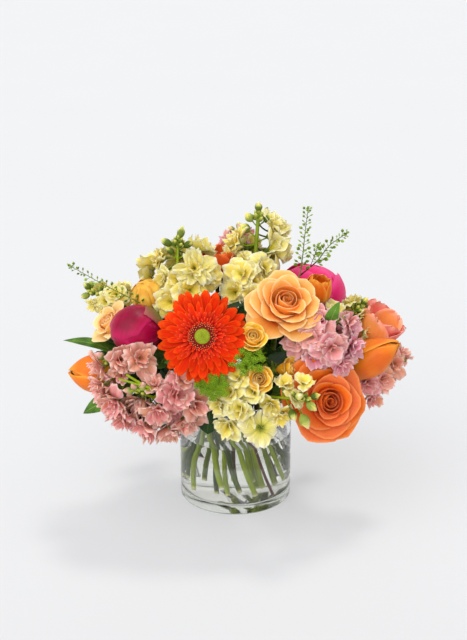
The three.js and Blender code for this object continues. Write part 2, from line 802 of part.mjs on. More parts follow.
// One entry for each stem: where its bloom is, how it comes to it and how thick it is.
const stems = [];
function needStem(name, ring, end, facing, options = {}) {
  const axis = vec(facing).normalize();
  const attach = vec(end);
  stems.push({
    name,
    ring,
    toward: end,
    points: options.points ?? [attach.clone().addScaledVector(axis, -20), attach],
    ...options,
  });
}

const stemEnd = (at, facing, back) => vec(at).addScaledVector(vec(facing).normalize(), -back).toArray();

needStem("gerbera_stem", "middle", stemEnd(GERBERA.at, GERBERA.facing, 3.5), GERBERA.facing, { radius: 2.8 });
for (const [name, bloom] of Object.entries(BLOOMS)) {
  const end = stemEnd(bloom.at, bloom.facing, depthOf(bloom) / 2 - 5);
  const small = depthOf(bloom) < 40;
  needStem(
    `${name}_stem`,
    bloom.ring,
    end,
    bloom.facing,
    { radius: small ? 2.4 : 3.1, cup: bloom.make === tulip ? 0 : small ? 5.5 : 8, bloom },
  );
}
for (const [name, stock] of Object.entries(STOCKS)) {
  const line = stock.line.map(vec);
  needStem(
    `${name}_stem`,
    stock.ring,
    stock.line[0],
    [0, 0, 1],
    { radius: 2.7, points: line, buds: stock.buds },
  );
}
for (const [name, spray] of Object.entries(THLASPI))
  needStem(
    name,
    spray.ring,
    spray.line[0],
    [0, 0, 1],
    { radius: 1.1, points: spray.line.map(vec), pods: spray },
  );
for (const [name, umbel] of Object.entries(UMBELS))
  needStem(name, umbel.ring, stemEnd(umbel.at, umbel.facing, 4), umbel.facing, { radius: 1.6, umbel });
needStem(
  "spray_rose_stem",
  "outer",
  stemEnd([30, -108, 204], [0, -0.9, 0.4], 12),
  [0, -0.9, 0.4],
  { radius: 2.4, spray: SPRAY },
);

const onRingOf = (ring) => stems.filter((s) => s.ring === ring);
const turnBy = THREE.MathUtils.degToRad;
placeRound(onRingOf("outer"), turnBy(-58), turnBy(290));
placeRound(onRingOf("middle"), turnBy(-90), turnBy(360));
placeRound(onRingOf("inner"), turnBy(0), turnBy(360));
onRingOf("back")
  .sort((a, b) => Math.atan2(a.toward[1], a.toward[0]) - Math.atan2(b.toward[1], b.toward[0]))
  .forEach((s, i) => {
    s.azimuth = turnBy(114 + 5.6 * i);
    s.fan = turnBy(-13 + 9 * i);
  });

const STEPS = 6;
const nudge = drawer(41);
for (const s of stems) {
  const ring = RINGS[s.ring] ?? RINGS.outer;
  s.foot = onRing(ring.foot + 0.8 * nudge(), s.azimuth + TWIST + (s.fan ?? 0), FOOT_Z + 10 + 9.8 * nudge());
  s.waist = onRing(ring.waist, s.azimuth, WAIST_Z);
  const first = s.points[0];
  const shoulder = onRing(ring.waist + 10, s.azimuth - 0.14, WAIST_Z + 19);
  s.upper = [shoulder, ...s.points];
  if (first.distanceTo(shoulder) < 12) s.upper = s.points;
}

function stemPath(s, stretch = 0) {
  const foot = s.foot.clone().addScaledVector(s.foot.clone().sub(s.waist).normalize(), stretch);
  const upper = s.upper.map((p) => p.clone());
  const last = upper.length - 1;
  upper[last].addScaledVector(upper[last].clone().sub(upper[last - 1]).normalize(), stretch);
  return new StemPath(foot, s.waist, upper, STEPS);
}

// A stem with all that is green on it: cup under the bloom, buds, pods, side stalks and leaves.
function stemBody(s, grow) {
  const path = stemPath(s, grow ? grow * 1.2 : 0);
  const parts = [sweep(path, STEPS, s.radius + grow)];
  if (s.cup) {
    const base = -depthOf(s.bloom) / 2;
    const profile = [
      [0, base - 8 - grow],
      [s.cup + grow, base - 1],
      [0, base + 1.5 + grow],
    ];
    parts.push(placed(turned(profile, 6), frame(s.bloom.at, s.bloom.facing)));
  }
  for (const [x, y, z, length] of s.buds ?? []) {
    const tip = vec([x, y, z]);
    const end = s.points[s.points.length - 1];
    const before = s.points[s.points.length - 2];
    const along = end.clone().sub(before);
    const t = THREE.MathUtils.clamp(tip.clone().sub(before).dot(along) / along.lengthSq() - 0.16, 0, 0.9);
    const root = before.clone().lerp(end, t);
    const way = tip.clone().sub(root);
    const bud = pod(way.length() + length * 0.5, length * 0.62, length * 0.55, grow);
    parts.push(placed(bud, frame(root.toArray(), way.toArray())));
  }
  if (s.pods) {
    parts.push(...podsAlong(path, s.pods.from, s.pods.pods, grow));
    if (s.pods.branch) {
      const branch = new THREE.CatmullRomCurve3(s.pods.branch.map(vec), false, "centripetal");
      parts.push(sweep(branch, 3, 0.9 + grow, 5), ...podsAlong(branch, 0.3, s.pods.branchPods, grow));
    }
  }
  if (s.umbel) {
    const { at, facing, radius } = s.umbel;
    const draw = drawer(radius);
    const place = frame(at, facing);
    const cap = [[0, -5 - grow], [radius * 0.74 + grow, 0.5], [0, 4 + grow]];
    parts.push(placed(turned(cap, 8), place));
    for (let k = 0; k < 9; k++) {
      const a = k * 2.39996;
      const r = radius * 0.86 * Math.sqrt((k + 0.3) / 9);
      const tilt = [0.5 * (r / radius) * Math.cos(a), 0.5 * (r / radius) * Math.sin(a), 1];
      const tuft = turned([[0, -4 - grow], [3.8 + grow, 1], [0, 3 + grow + draw()]], 5);
      const spot = frame([r * Math.cos(a), r * Math.sin(a), 3 - 4 * (r / radius) ** 2], tilt, k);
      parts.push(placed(placed(tuft, spot), place));
    }
  }
  for (const rose of s.spray ?? []) {
    const end = vec(stemEnd(rose.at, rose.facing, rose.radius * 0.62 - 3));
    const from = path.getPoint(0.86);
    const mid = end.clone().addScaledVector(vec(rose.facing).normalize(), -8);
    parts.push(sweep(new THREE.CatmullRomCurve3([from, mid, end]), 3, 1.7 + grow, 6));
    const base = -rose.radius * 0.62;
    const profile = [[0, base - 5 - grow], [5 + grow, base - 0.5], [0, base + 1.5 + grow]];
    parts.push(placed(turned(profile, 6), frame(rose.at, rose.facing)));
  }
  for (const blades of LEAVES[s.name] ?? []) {
    parts.push(leaf(blades, grow));
    const stalk = new THREE.LineCurve3(nearestOn(path, vec(blades.root)), leafSheet(blades, 0)(0, 0.2));
    parts.push(sweep(stalk, 1, 1.2 + grow, 5));
  }
  return join(parts);
}

// Seed pods to both sides of a fine stem, from "from" of its length to its tip.
function podsAlong(path, from, count, grow) {
  const draw = drawer(count);
  const pods = [
    placed(pod(7, 4, 2, grow), frame(path.getPoint(0.99).toArray(), path.getTangent(1).toArray())),
  ];
  for (let k = 0; k < count; k++) {
    const t = from + ((1 - from) * (k + 0.5)) / count;
    const along = path.getTangent(t);
    const across = new THREE.Vector3(0, 1, 0).cross(along).normalize();
    across.applyAxisAngle(along, (k % 2 ? Math.PI : 0) + 0.7 * draw());
    const way = across.addScaledVector(along, 0.45).normalize();
    pods.push(placed(
      pod(10 - (3 * (t - from)) / (1 - from), 3.4, 1.8, grow),
      frame(path.getPoint(t).toArray(), way.toArray(), k),
    ));
  }
  return pods;
}

function nearestOn(path, point) {
  let best = path.getPoint(0.5);
  for (let t = 0.15; t <= 1; t += 0.02) {
    const p = path.getPoint(t);
    if (p.distanceTo(point) < best.distanceTo(point)) best = p;
  }
  return best;
}

// The florets of a stock on a sleeve of their own colour, which clasps the stem. Each one turns half
// away from the stem and half away from the heart of the bouquet.
const HEART = new THREE.Vector3(0, 0, 150);
const FULL = 1.08;
function stockBody(name, stock, grow) {
  const s = stems.find((entry) => entry.name === `${name}_stem`);
  const path = stemPath(s);
  const rows = [...Array(STEPS + 1).keys()].map((i) => path.getPoint(i / STEPS));
  const line = stock.line.map(vec);
  const sleeveFrom = rows.findIndex((p) => p.z > WAIST_Z + 8 && p.distanceTo(line[0]) < 22);
  const sleeve = rows.slice(Math.max(2, sleeveFrom), STEPS);
  const curve = new THREE.CatmullRomCurve3(sleeve, false, "centripetal");
  const parts = [sweep(curve, sleeve.length + 1, s.radius + GAP + 1.7 + grow, 6)];
  stock.florets.forEach(([x, y, z, radius], i) => {
    const at = vec([x, y, z]);
    let root = curve.getPoint(0);
    for (let t = 0; t <= 1; t += 0.05) {
      const p = curve.getPoint(t);
      if (p.distanceTo(at) < root.distanceTo(at)) root = p;
    }
    root.addScaledVector(curve.getPoint(0).sub(curve.getPoint(1)).normalize(), 3);
    const way = at.clone().sub(root).normalize();
    const outward = at.clone().sub(HEART).normalize();
    const place = frame(at.toArray(), way.lerp(outward, 0.5).toArray(), i);
    const base = root.applyMatrix4(place.clone().invert());
    parts.push(placed(floret(radius * FULL, base, i + radius, grow), place));
  });
  return join(parts);
}

// ---- Clearing the pieces from each other and naming them ----------------------------------------------
const nodes = [];
const add = (name, colour, body, cutter, envelope) => nodes.push({ name, colour, body, cutter, envelope });

const face = frame(GERBERA.at, GERBERA.facing);
const rays = gerberaRays(GERBERA.rays, 0);
const ring = gerberaRing(GERBERA.eye, 0);
const ringCutter = gerberaRing(GERBERA.eye, GAP);
add(
  "gerbera_rays",
  "gerberaRay",
  placed(rays.subtract(ringCutter), face),
  null,
  placed(envelopeOf(rays.add(ring)), face),
);
add("gerbera_ring", "gerberaRing", placed(ring, face));
add("gerbera_eye", "gerberaEye", placed(gerberaEye(GERBERA.eye), face));
for (const { name, at, facing, radius } of SPRAY) {
  const body = rose({ radius, depth: radius * 1.24, rings: [5], lengthwise: 2, seed: radius }, 0);
  add(
    name,
    "yellow",
    placed(body, frame(at, facing)),
    null,
    placed(envelopeOf(body, 10, 4), frame(at, facing)),
  );
}
for (const [name, { make, at, facing, size, colour }] of Object.entries(BLOOMS)) {
  const body = make(size, 0);
  add(name, colour, placed(body, frame(at, facing)), null, placed(envelopeOf(body), frame(at, facing)));
}
for (const [name, stock] of Object.entries(STOCKS))
  add(name, stock.colour, stockBody(name, stock, 0), stockBody(name, stock, GAP));

const backStems = stems.filter((s) => s.ring === "back");
const greens = stems
  .filter((s) => s.ring !== "back")
  .map((s) => ({
    name: s.name,
    colour: s.umbel ? "umbel" : "stem",
    body: stemBody(s, 0),
    cutter: stemBody(s, GAP),
  }));
greens.push({
  name: "stems_back",
  colour: "stem",
  body: join(backStems.map((s) => stemBody(s, 0))),
  cutter: join(backStems.map((s) => stemBody(s, GAP))),
});

function meets(a, b) {
  const p = a.boundingBox();
  const q = b.boundingBox();
  return [0, 1, 2].every((i) => p.min[i] < q.max[i] && q.min[i] < p.max[i]);
}

const clear = (body, cutter) => (cutter && meets(body, cutter) ? body.subtract(cutter) : body);
const gerberaParts = 3; // the gerbera's own three pieces are cleared from each other already
nodes.forEach((node, i) => {
  for (const green of greens) node.body = clear(node.body, green.cutter);
  for (const other of nodes.slice(i < gerberaParts ? i : 0, i)) {
    node.body = clear(node.body, other.envelope ?? other.cutter);
  }
});

const bore = VASE.radius - VASE.wall;
const glass = turned(
  [
    [0, 0],
    [VASE.radius - VASE.edge, 0],
    [VASE.radius, VASE.edge],
    [VASE.radius, VASE.height],
    [bore, VASE.height],
    [bore, VASE.floor + 3],
    [bore - 3, VASE.floor],
    [0, VASE.floor],
  ],
  VASE.sides,
);
const fill = bore - GAP;
let water = turned(
  [
    [0, FOOT_Z - 0.05],
    [fill - 3, FOOT_Z - 0.05],
    [fill, FOOT_Z + 3],
    [fill, WATER_TOP],
    [0, WATER_TOP],
  ],
  VASE.sides,
);
for (const green of greens) water = clear(water, green.cutter);

const object = new THREE.Group();
object.name = "bouquet_in_vase";
function show(name, colour, body, fine) {
  const tidy = largestBody(body.simplify(fine ?? 0.12));
  const mesh = new THREE.Mesh(geometryOf(tidy), new THREE.MeshStandardMaterial(COLOURS[colour]));
  mesh.name = name;
  object.add(mesh);
}
show("vase", "glass", glass, 0.02);
show("water", "water", water, 0.02);
for (const { name, colour, body } of [...nodes, ...greens]) show(name, colour, body);

export default object;
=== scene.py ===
"""A mixed bouquet in a clear glass cylinder of water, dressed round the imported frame.

Every bloom, stem and leaf is built in millimetres at the place that the solids give it, as closed thin
sheets, tubes and turned bodies, and goes out in metres.
"""

import math

import bpy
import numpy as np
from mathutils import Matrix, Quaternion, Vector


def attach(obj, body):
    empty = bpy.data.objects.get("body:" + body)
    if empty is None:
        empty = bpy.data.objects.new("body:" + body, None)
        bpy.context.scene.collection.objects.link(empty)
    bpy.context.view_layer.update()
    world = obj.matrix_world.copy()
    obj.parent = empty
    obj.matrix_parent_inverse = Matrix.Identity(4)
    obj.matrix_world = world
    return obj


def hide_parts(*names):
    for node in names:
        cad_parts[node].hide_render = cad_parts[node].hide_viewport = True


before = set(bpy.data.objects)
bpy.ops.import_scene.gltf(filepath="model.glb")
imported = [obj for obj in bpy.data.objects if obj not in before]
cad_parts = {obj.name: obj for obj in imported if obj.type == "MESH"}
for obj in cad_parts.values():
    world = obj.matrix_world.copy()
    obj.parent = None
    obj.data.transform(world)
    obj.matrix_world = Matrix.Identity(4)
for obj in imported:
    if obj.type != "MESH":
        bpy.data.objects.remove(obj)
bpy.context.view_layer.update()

# ---- Dimensions shared with the solids, in millimetres -----------------------------------------------------
MM = 0.001
VASE = {"radius": 63.5, "height": 127.0, "wall": 3.6, "floor": 9.5, "edge": 3.5}
WATER_TOP = 78.0
WAIST_Z = 121.0
FOOT_Z = 9.85
TWIST = math.radians(52)
RINGS = {"inner": (9.0, 17.0), "middle": (25.0, 34.0), "outer": (43.0, 49.5)}
GOLDEN = math.radians(137.508)

# ---- The view and the light of the photograph, in metres and degrees ---------------------------------------
CAMERA_AT = (-0.0023, -1.3627, 0.6954)
CAMERA_DOWN = 19.6
FOCAL_PX = 1300
IMAGE_HEIGHT_PX = 640
SENSOR_MM = 36.0
FLOOR_REACH = 14.0
FLOOR_GLOW = 0.385
SOFT_LIGHT_FROM = (-0.42, -0.78, 0.60)
SOFT_LIGHT = {"from": 0.62, "to": 0.97, "around": 0.74, "brightest": 2.9}
KEY = {"from": (0.20, 0.26, 1.0), "strength": 1.0, "angle": 11, "colour": (1.0, 0.985, 0.95)}

# ---- The bouquet's layout, in millimetres, as the solids have it -------------------------------------------
GERBERA = {"at": (-34, -125, 237), "facing": (0.03, -0.94, 0.35)}
# name: kind, place, facing, size, colour, ring of the gathered stems
BLOOMS = {
    "rose_peach": (
        "rose", (47, -86, 254), (0.1, -0.66, 0.74), {"radius": 41, "depth": 44, "seed": 3}, "peach", "middle",
    ),
    "rose_orange": (
        "rose", (94, -104, 157), (0.25, -0.92, 0.32), {"radius": 41, "depth": 44, "seed": 8}, "orange",
        "outer",
    ),
    "rose_pale": (
        "rose", (-134, -48, 217), (-0.6, -0.35, 0.72), {"radius": 25, "depth": 34, "seed": 5}, "peach",
        "middle",
    ),
    "rose_back": (
        "rose", (-70, 90, 172), (-0.4, 0.8, 0.4), {"radius": 38, "depth": 42, "seed": 11}, "orange", "back",
    ),
    "peony_left": (
        "peony", (-103, -84, 228), (-0.6, -0.72, 0.15), {"radius": 26, "length": 56}, "crimson", "middle",
    ),
    "peony_pink": (
        "peony", (85, 30, 230), (0.2, 0.1, 0.96), {"radius": 38, "length": 68, "open": 0.3}, "pink", "inner",
    ),
    "peony_back": (
        "peony", (24, 104, 166), (0.1, 0.85, 0.4), {"radius": 33, "length": 58, "open": 0.3}, "crimson",
        "back",
    ),
    "tulip_right": (
        "tulip", (148, -66, 193), (0.83, -0.25, 0.5), {"radius": 17.5, "length": 64}, "tulip", "outer",
    ),
    "tulip_left": (
        "tulip", (-157, -60, 170), (-0.92, -0.12, 0.16), {"radius": 19, "length": 52}, "tulip", "outer",
    ),
    "tulip_top": (
        "tulip", (88, -28, 255), (0.12, -0.12, 0.98), {"radius": 16, "length": 40, "open": 0.5}, "tulip",
        "inner",
    ),
    "tulip_red": (
        "tulip", (-20, 0, 272), (0, -0.05, 1), {"radius": 13, "length": 36, "open": 0.3}, "tulip_red", "inner"
    ),
    "tulip_coral": (
        "tulip", (153, -22, 205), (0.5, -0.2, 0.84), {"radius": 24, "length": 48, "open": 0.6}, "coral",
        "outer",
    ),
    "tulip_back": ("tulip", (118, 74, 178), (0.7, 0.6, 0.35), {"radius": 17, "length": 56}, "tulip", "back"),
    "gold_bud": ("bud", (-94, -38, 250), (-0.3, -0.35, 0.9), {"radius": 15, "length": 30}, "gold", "middle"),
}
SPRAY = [
    ("spray_rose_top", (18, -110, 226), (0, -0.7, 0.7), 15.0),
    ("spray_rose_low", (24, -122, 195), (0, -0.9, 0.4), 16.5),
    ("spray_rose_side", (47, -108, 194), (0.8, -0.5, 0.3), 14.0),
]
# name: ring, colour, line of the stem through its flowers, florets (x, y, z, radius), buds (x, y, z, length)
STOCKS = {
    "stock_cream_a": (
        "middle",
        "cream",
        [(-56, -36, 236), (-62, -32, 268), (-62, -15, 306)],
        [
            (-43, -56, 288, 21), (-48, -62, 266, 17), (-28, -48, 279, 14), (-68, -56, 250, 17),
            (-86, -14, 280, 18), (-94, -16, 264, 14), (-76, -38, 268, 14), (-38, -18, 296, 13),
            (-62, 4, 284, 14), (-66, 2, 258, 14),
        ],
        [
            (-74, -15, 304, 12), (-59, -12, 314, 12), (-51, -18, 303, 11), (-49, -24, 296, 10),
            (-70, -20, 296, 10),
        ],
    ),
    "stock_cream_b": (
        "inner",
        "cream",
        [(14, -20, 250), (20, -10, 278), (25, 12, 328)],
        [
            (0, 2, 299, 14), (-6, -6, 283, 14), (6, -38, 275, 16), (0, -46, 258, 16), (30, -24, 277, 14),
            (40, 10, 290, 15), (41, 16, 316, 12), (12, 24, 288, 14), (32, 26, 270, 14),
        ],
        [(15, 10, 325, 10), (35, 12, 323, 10), (11, 6, 314, 11), (38, 10, 304, 9), (25, 13, 336, 9)],
    ),
    "stock_cream_c": (
        "outer",
        "cream",
        [(12, -96, 156), (30, -120, 168), (70, -149, 178)],
        [
            (2, -128, 193, 12), (-6, -132, 179, 13), (18, -134, 180, 12), (-17, -126, 163, 13),
            (4, -140, 164, 13), (-8, -126, 139, 15), (25, -130, 139, 19), (50, -130, 186, 11),
            (46, -136, 155, 12), (68, -144, 195, 10),
        ],
        [
            (76, -152, 172, 11), (70, -148, 154, 14), (58, -146, 160, 11), (64, -156, 184, 11),
            (80, -146, 180, 9),
        ],
    ),
    "stock_cream_d": (
        "middle",
        "cream",
        [(-106, -8, 216), (-124, -8, 230), (-158, -4, 244)],
        [
            (-156, -10, 232, 9), (-141, -16, 238, 11), (-130, -22, 248, 11), (-150, 8, 244, 9),
            (-124, 2, 246, 11), (-132, 14, 226, 12), (-112, 12, 232, 12),
        ],
        [(-163, -2, 250, 9), (-165, -4, 240, 9), (-160, 4, 250, 8)],
    ),
    "stock_cream_e": (
        "middle",
        "cream",
        [(104, -30, 200), (114, -30, 216), (136, -24, 234)],
        [
            (107, -42, 236, 10), (113, -50, 224, 10), (134, -30, 222, 12), (128, -14, 234, 11),
            (141, -40, 209, 8), (122, -4, 216, 12), (140, -10, 218, 10),
        ],
        [(140, -24, 240, 9), (142, -20, 232, 8)],
    ),
    "stock_pink_a": (
        "outer",
        "stock_pink",
        [(-100, -84, 160), (-118, -92, 174), (-134, -100, 200)],
        [
            (-119, -112, 206, 14), (-99, -112, 208, 15), (-141, -98, 193, 13), (-140, -100, 172, 14),
            (-127, -108, 158, 15), (-120, -102, 140, 15), (-120, -116, 184, 14), (-124, -74, 164, 13),
            (-108, -76, 146, 13),
        ],
        [(-140, -106, 208, 10), (-128, -108, 206, 9)],
    ),
    "stock_pink_b": (
        "outer",
        "stock_pink",
        [(-62, -86, 158), (-74, -100, 156), (-102, -122, 176)],
        [
            (-101, -116, 164, 17), (-94, -106, 130, 16), (-80, -122, 154, 14), (-62, -122, 172, 16),
            (-56, -124, 190, 13), (-42, -118, 160, 15), (-72, -108, 127, 15), (-53, -112, 138, 14),
            (-86, -124, 178, 13),
        ],
        [(-104, -126, 182, 10), (-110, -122, 176, 10), (-96, -128, 184, 10)],
    ),
    "stock_pink_c": (
        "outer",
        "stock_pink",
        [(84, -70, 196), (90, -80, 214), (102, -90, 240)],
        [
            (88, -98, 245, 15), (79, -106, 229, 15), (64, -98, 223, 13), (99, -113, 220, 16),
            (82, -106, 208, 13), (117, -90, 237, 13), (121, -94, 215, 15), (110, -104, 199, 13),
            (108, -66, 222, 13),
        ],
        [(112, -94, 246, 10), (104, -92, 248, 8)],
    ),
    "stock_pink_d": (
        "outer",
        "stock_pink",
        [(128, -42, 156), (146, -44, 158), (176, -36, 170)],
        [
            (141, -62, 160, 13), (147, -58, 143, 12), (159, -56, 163, 12), (172, -46, 176, 12),
            (181, -30, 180, 11), (160, -28, 150, 13),
        ],
        [(184, -34, 174, 8), (182, -38, 180, 8)],
    ),
    "stock_pink_e": (
        "back",
        "stock_pink",
        [(4, 30, 256), (4, 32, 276), (4, 34, 300)],
        [(-9, 26, 294, 11), (10, 28, 300, 11), (20, 34, 282, 11), (-4, 44, 282, 11), (12, 48, 290, 11)],
        [(4, 36, 308, 8), (-4, 34, 305, 8)],
    ),
    "stock_cream_f": (
        "back",
        "cream",
        [(-36, 44, 200), (-44, 42, 226), (-50, 36, 256)],
        [
            (-66, 44, 240, 17), (-46, 62, 236, 17), (-24, 50, 246, 16), (-60, 50, 262, 16),
            (-36, 22, 262, 15), (-64, 22, 252, 16),
        ],
        [(-52, 42, 268, 10), (-46, 30, 268, 9)],
    ),
}
# seed-pod sprays: ring, line of the stem, where its pods begin, their number, and its branches, each with its
# line, radius at both ends, steps, sides, where its pods begin and their number
THLASPI = {
    "thlaspi_left": (
        "middle", [(-76, -34, 228), (-98, -54, 247), (-138, -48, 266), (-177, -40, 286)], 0.52, 58, (),
    ),
    "thlaspi_right": (
        "inner",
        [(66, -34, 262), (71, -30, 288), (74, -24, 316), (77, -20, 343)],
        0.6,
        40,
        (
            (
                [(69, -32, 272), (88, -28, 288), (100, -24, 303), (119, -20, 316)], (0.75, 0.35), 14, 6, 0.28,
                34,
            ),
            ([(80, -30, 282), (84, -32, 294), (88, -32, 306)], (0.4, 0.4), 6, 5, 0.2, 12),
        ),
    ),
}
# place, facing, radius, ring
UMBELS = {
    "umbel_top": ((14, -120, 210), (0, -0.75, 0.66), 19.0, "middle"),
    "umbel_low": ((-21, -128, 192), (-0.2, -0.93, 0.3), 14.0, "outer"),
}
# leaves by the stem that carries them: root, tip, width, arch, face
LEAVES = {
    "tulip_left_stem": [((-118, -46, 182), (-187, -40, 202), 14, 6, (0.1, -0.4, 0.9))],
    "stock_pink_a_stem": [((-108, -84, 164), (-166, -70, 128), 19, 4, (0.2, -0.8, 0.6))],
    "umbel_low": [((-26, -70, 152), (-31, -80, 107), 34, 3, (0, -1, 0.1))],
    "stock_pink_c_stem": [((96, -99, 238), (105, -109, 268), 13, 2, (-0.2, -0.9, 0.4))],
    "tulip_right_stem": [((92, -44, 190), (106, -76, 246), 17, 4, (-0.2, -0.9, 0.4))],
    "rose_peach_stem": [
        ((38, -56, 192), (64, -88, 196), 22, 3, (0, -0.6, 0.8)),
        ((36, -50, 180), (-4, -92, 206), 22, 3, (0, -0.6, 0.8)),
    ],
    "rose_orange_stem": [((64, -62, 150), (34, -96, 158), 22, 3, (0, -0.8, 0.6))],
    "gerbera_stem": [((-26, -64, 184), (-74, -92, 196), 24, 3, (0, -0.8, 0.6))],
    "peony_left_stem": [((-66, -54, 204), (-84, -66, 178), 24, 3, (0, -0.9, 0.4))],
    "peony_pink_stem": [((64, 18, 190), (104, 62, 186), 26, 4, (0.3, 0.5, 0.8))],
}


# ---- Small helpers -----------------------------------------------------------------------------------------
def srgb(colour):
    """A colour given as 0-255 display values, as the linear values that a shader takes."""
    shares = [c / 255 for c in colour]
    return tuple(c / 12.92 if c <= 0.04045 else ((c + 0.055) / 1.055) ** 2.4 for c in shares) + (1.0,)


def arr(p):
    return np.asarray(p, float)


def unit(p):
    p = arr(p)
    return p / max(np.linalg.norm(p), 1e-9)


def lerp(a, b, t):
    return a + (b - a) * t


def ramp(a, b, x):
    """0 below a, 1 above b, smooth between them."""
    t = np.clip((x - a) / (b - a), 0.0, 1.0)
    return t * t * (3 - 2 * t)


def drawer(seed):
    """The solids' seeded draw in -1..1."""
    state = [float(seed * 7919 + 17)]

    def draw():
        state[0] = math.fmod(state[0] * 1103515245.0 + 12345.0, 2147483648.0)
        return state[0] / 2147483648.0 * 2 - 1

    return draw


def spot(at, facing, roll=0.0):
    """A bloom's frame, as (rotation, place): its own +Z points along facing."""
    turn = Vector((0, 0, 1)).rotation_difference(Vector(facing).normalized()) @ Quaternion((0, 0, 1), roll)
    return np.array(turn.to_matrix()), arr(at)


def put(points, frame_of):
    rotation, at = frame_of
    return points @ rotation.T + at


def within(frame_of, at, facing, roll=0.0):
    """A frame given inside another one."""
    rotation, origin = frame_of
    inner_rotation, inner_at = spot(at, facing, roll)
    return rotation @ inner_rotation, rotation @ inner_at + origin


def uv(along, across):
    """Grids of v from 0 at the root to 1 at the tip, and u from -1 to 1, both closer together at the rim."""
    v = 1 - (1 - np.linspace(0, 1, along)) ** 1.25
    u = np.sin(np.linspace(-math.pi / 2, math.pi / 2, across)) * 0.85 + np.linspace(-1, 1, across) * 0.15
    return np.meshgrid(v, u, indexing="ij")


def on_ring(radius, azimuth, z):
    """The point at radius and azimuth about +Z."""
    return arr((radius * math.cos(azimuth), radius * math.sin(azimuth), z))


def angles(sides):
    """Even steps round a circle."""
    return 2 * math.pi * np.arange(sides) / sides


def round_axis(radius, angle, z):
    """A grid of points from their radius and angle about +Z."""
    return np.stack([radius * np.cos(angle), radius * np.sin(angle), z], axis=2)


def swung(x, y, z, azimuth):
    """A grid of points drawn along +X, swung about +Z to its azimuth."""
    c, s = np.cos(azimuth), np.sin(azimuth)
    return np.stack([x * c - y * s, x * s + y * c, z], axis=2)


def arc(start, end, v):
    """(x, z) along a strip of length 1 whose slope turns evenly from start to end, in radians."""
    turn = end - start
    turn = np.where(np.abs(turn) < 1e-4, 1e-4, turn)
    now = start + turn * v
    return (np.sin(now) - np.sin(start)) / turn, (np.cos(start) - np.cos(now)) / turn


def linked(name, data):
    """A new object of the scene that holds data."""
    obj = bpy.data.objects.new(name, data)
    bpy.context.scene.collection.objects.link(obj)
    return obj


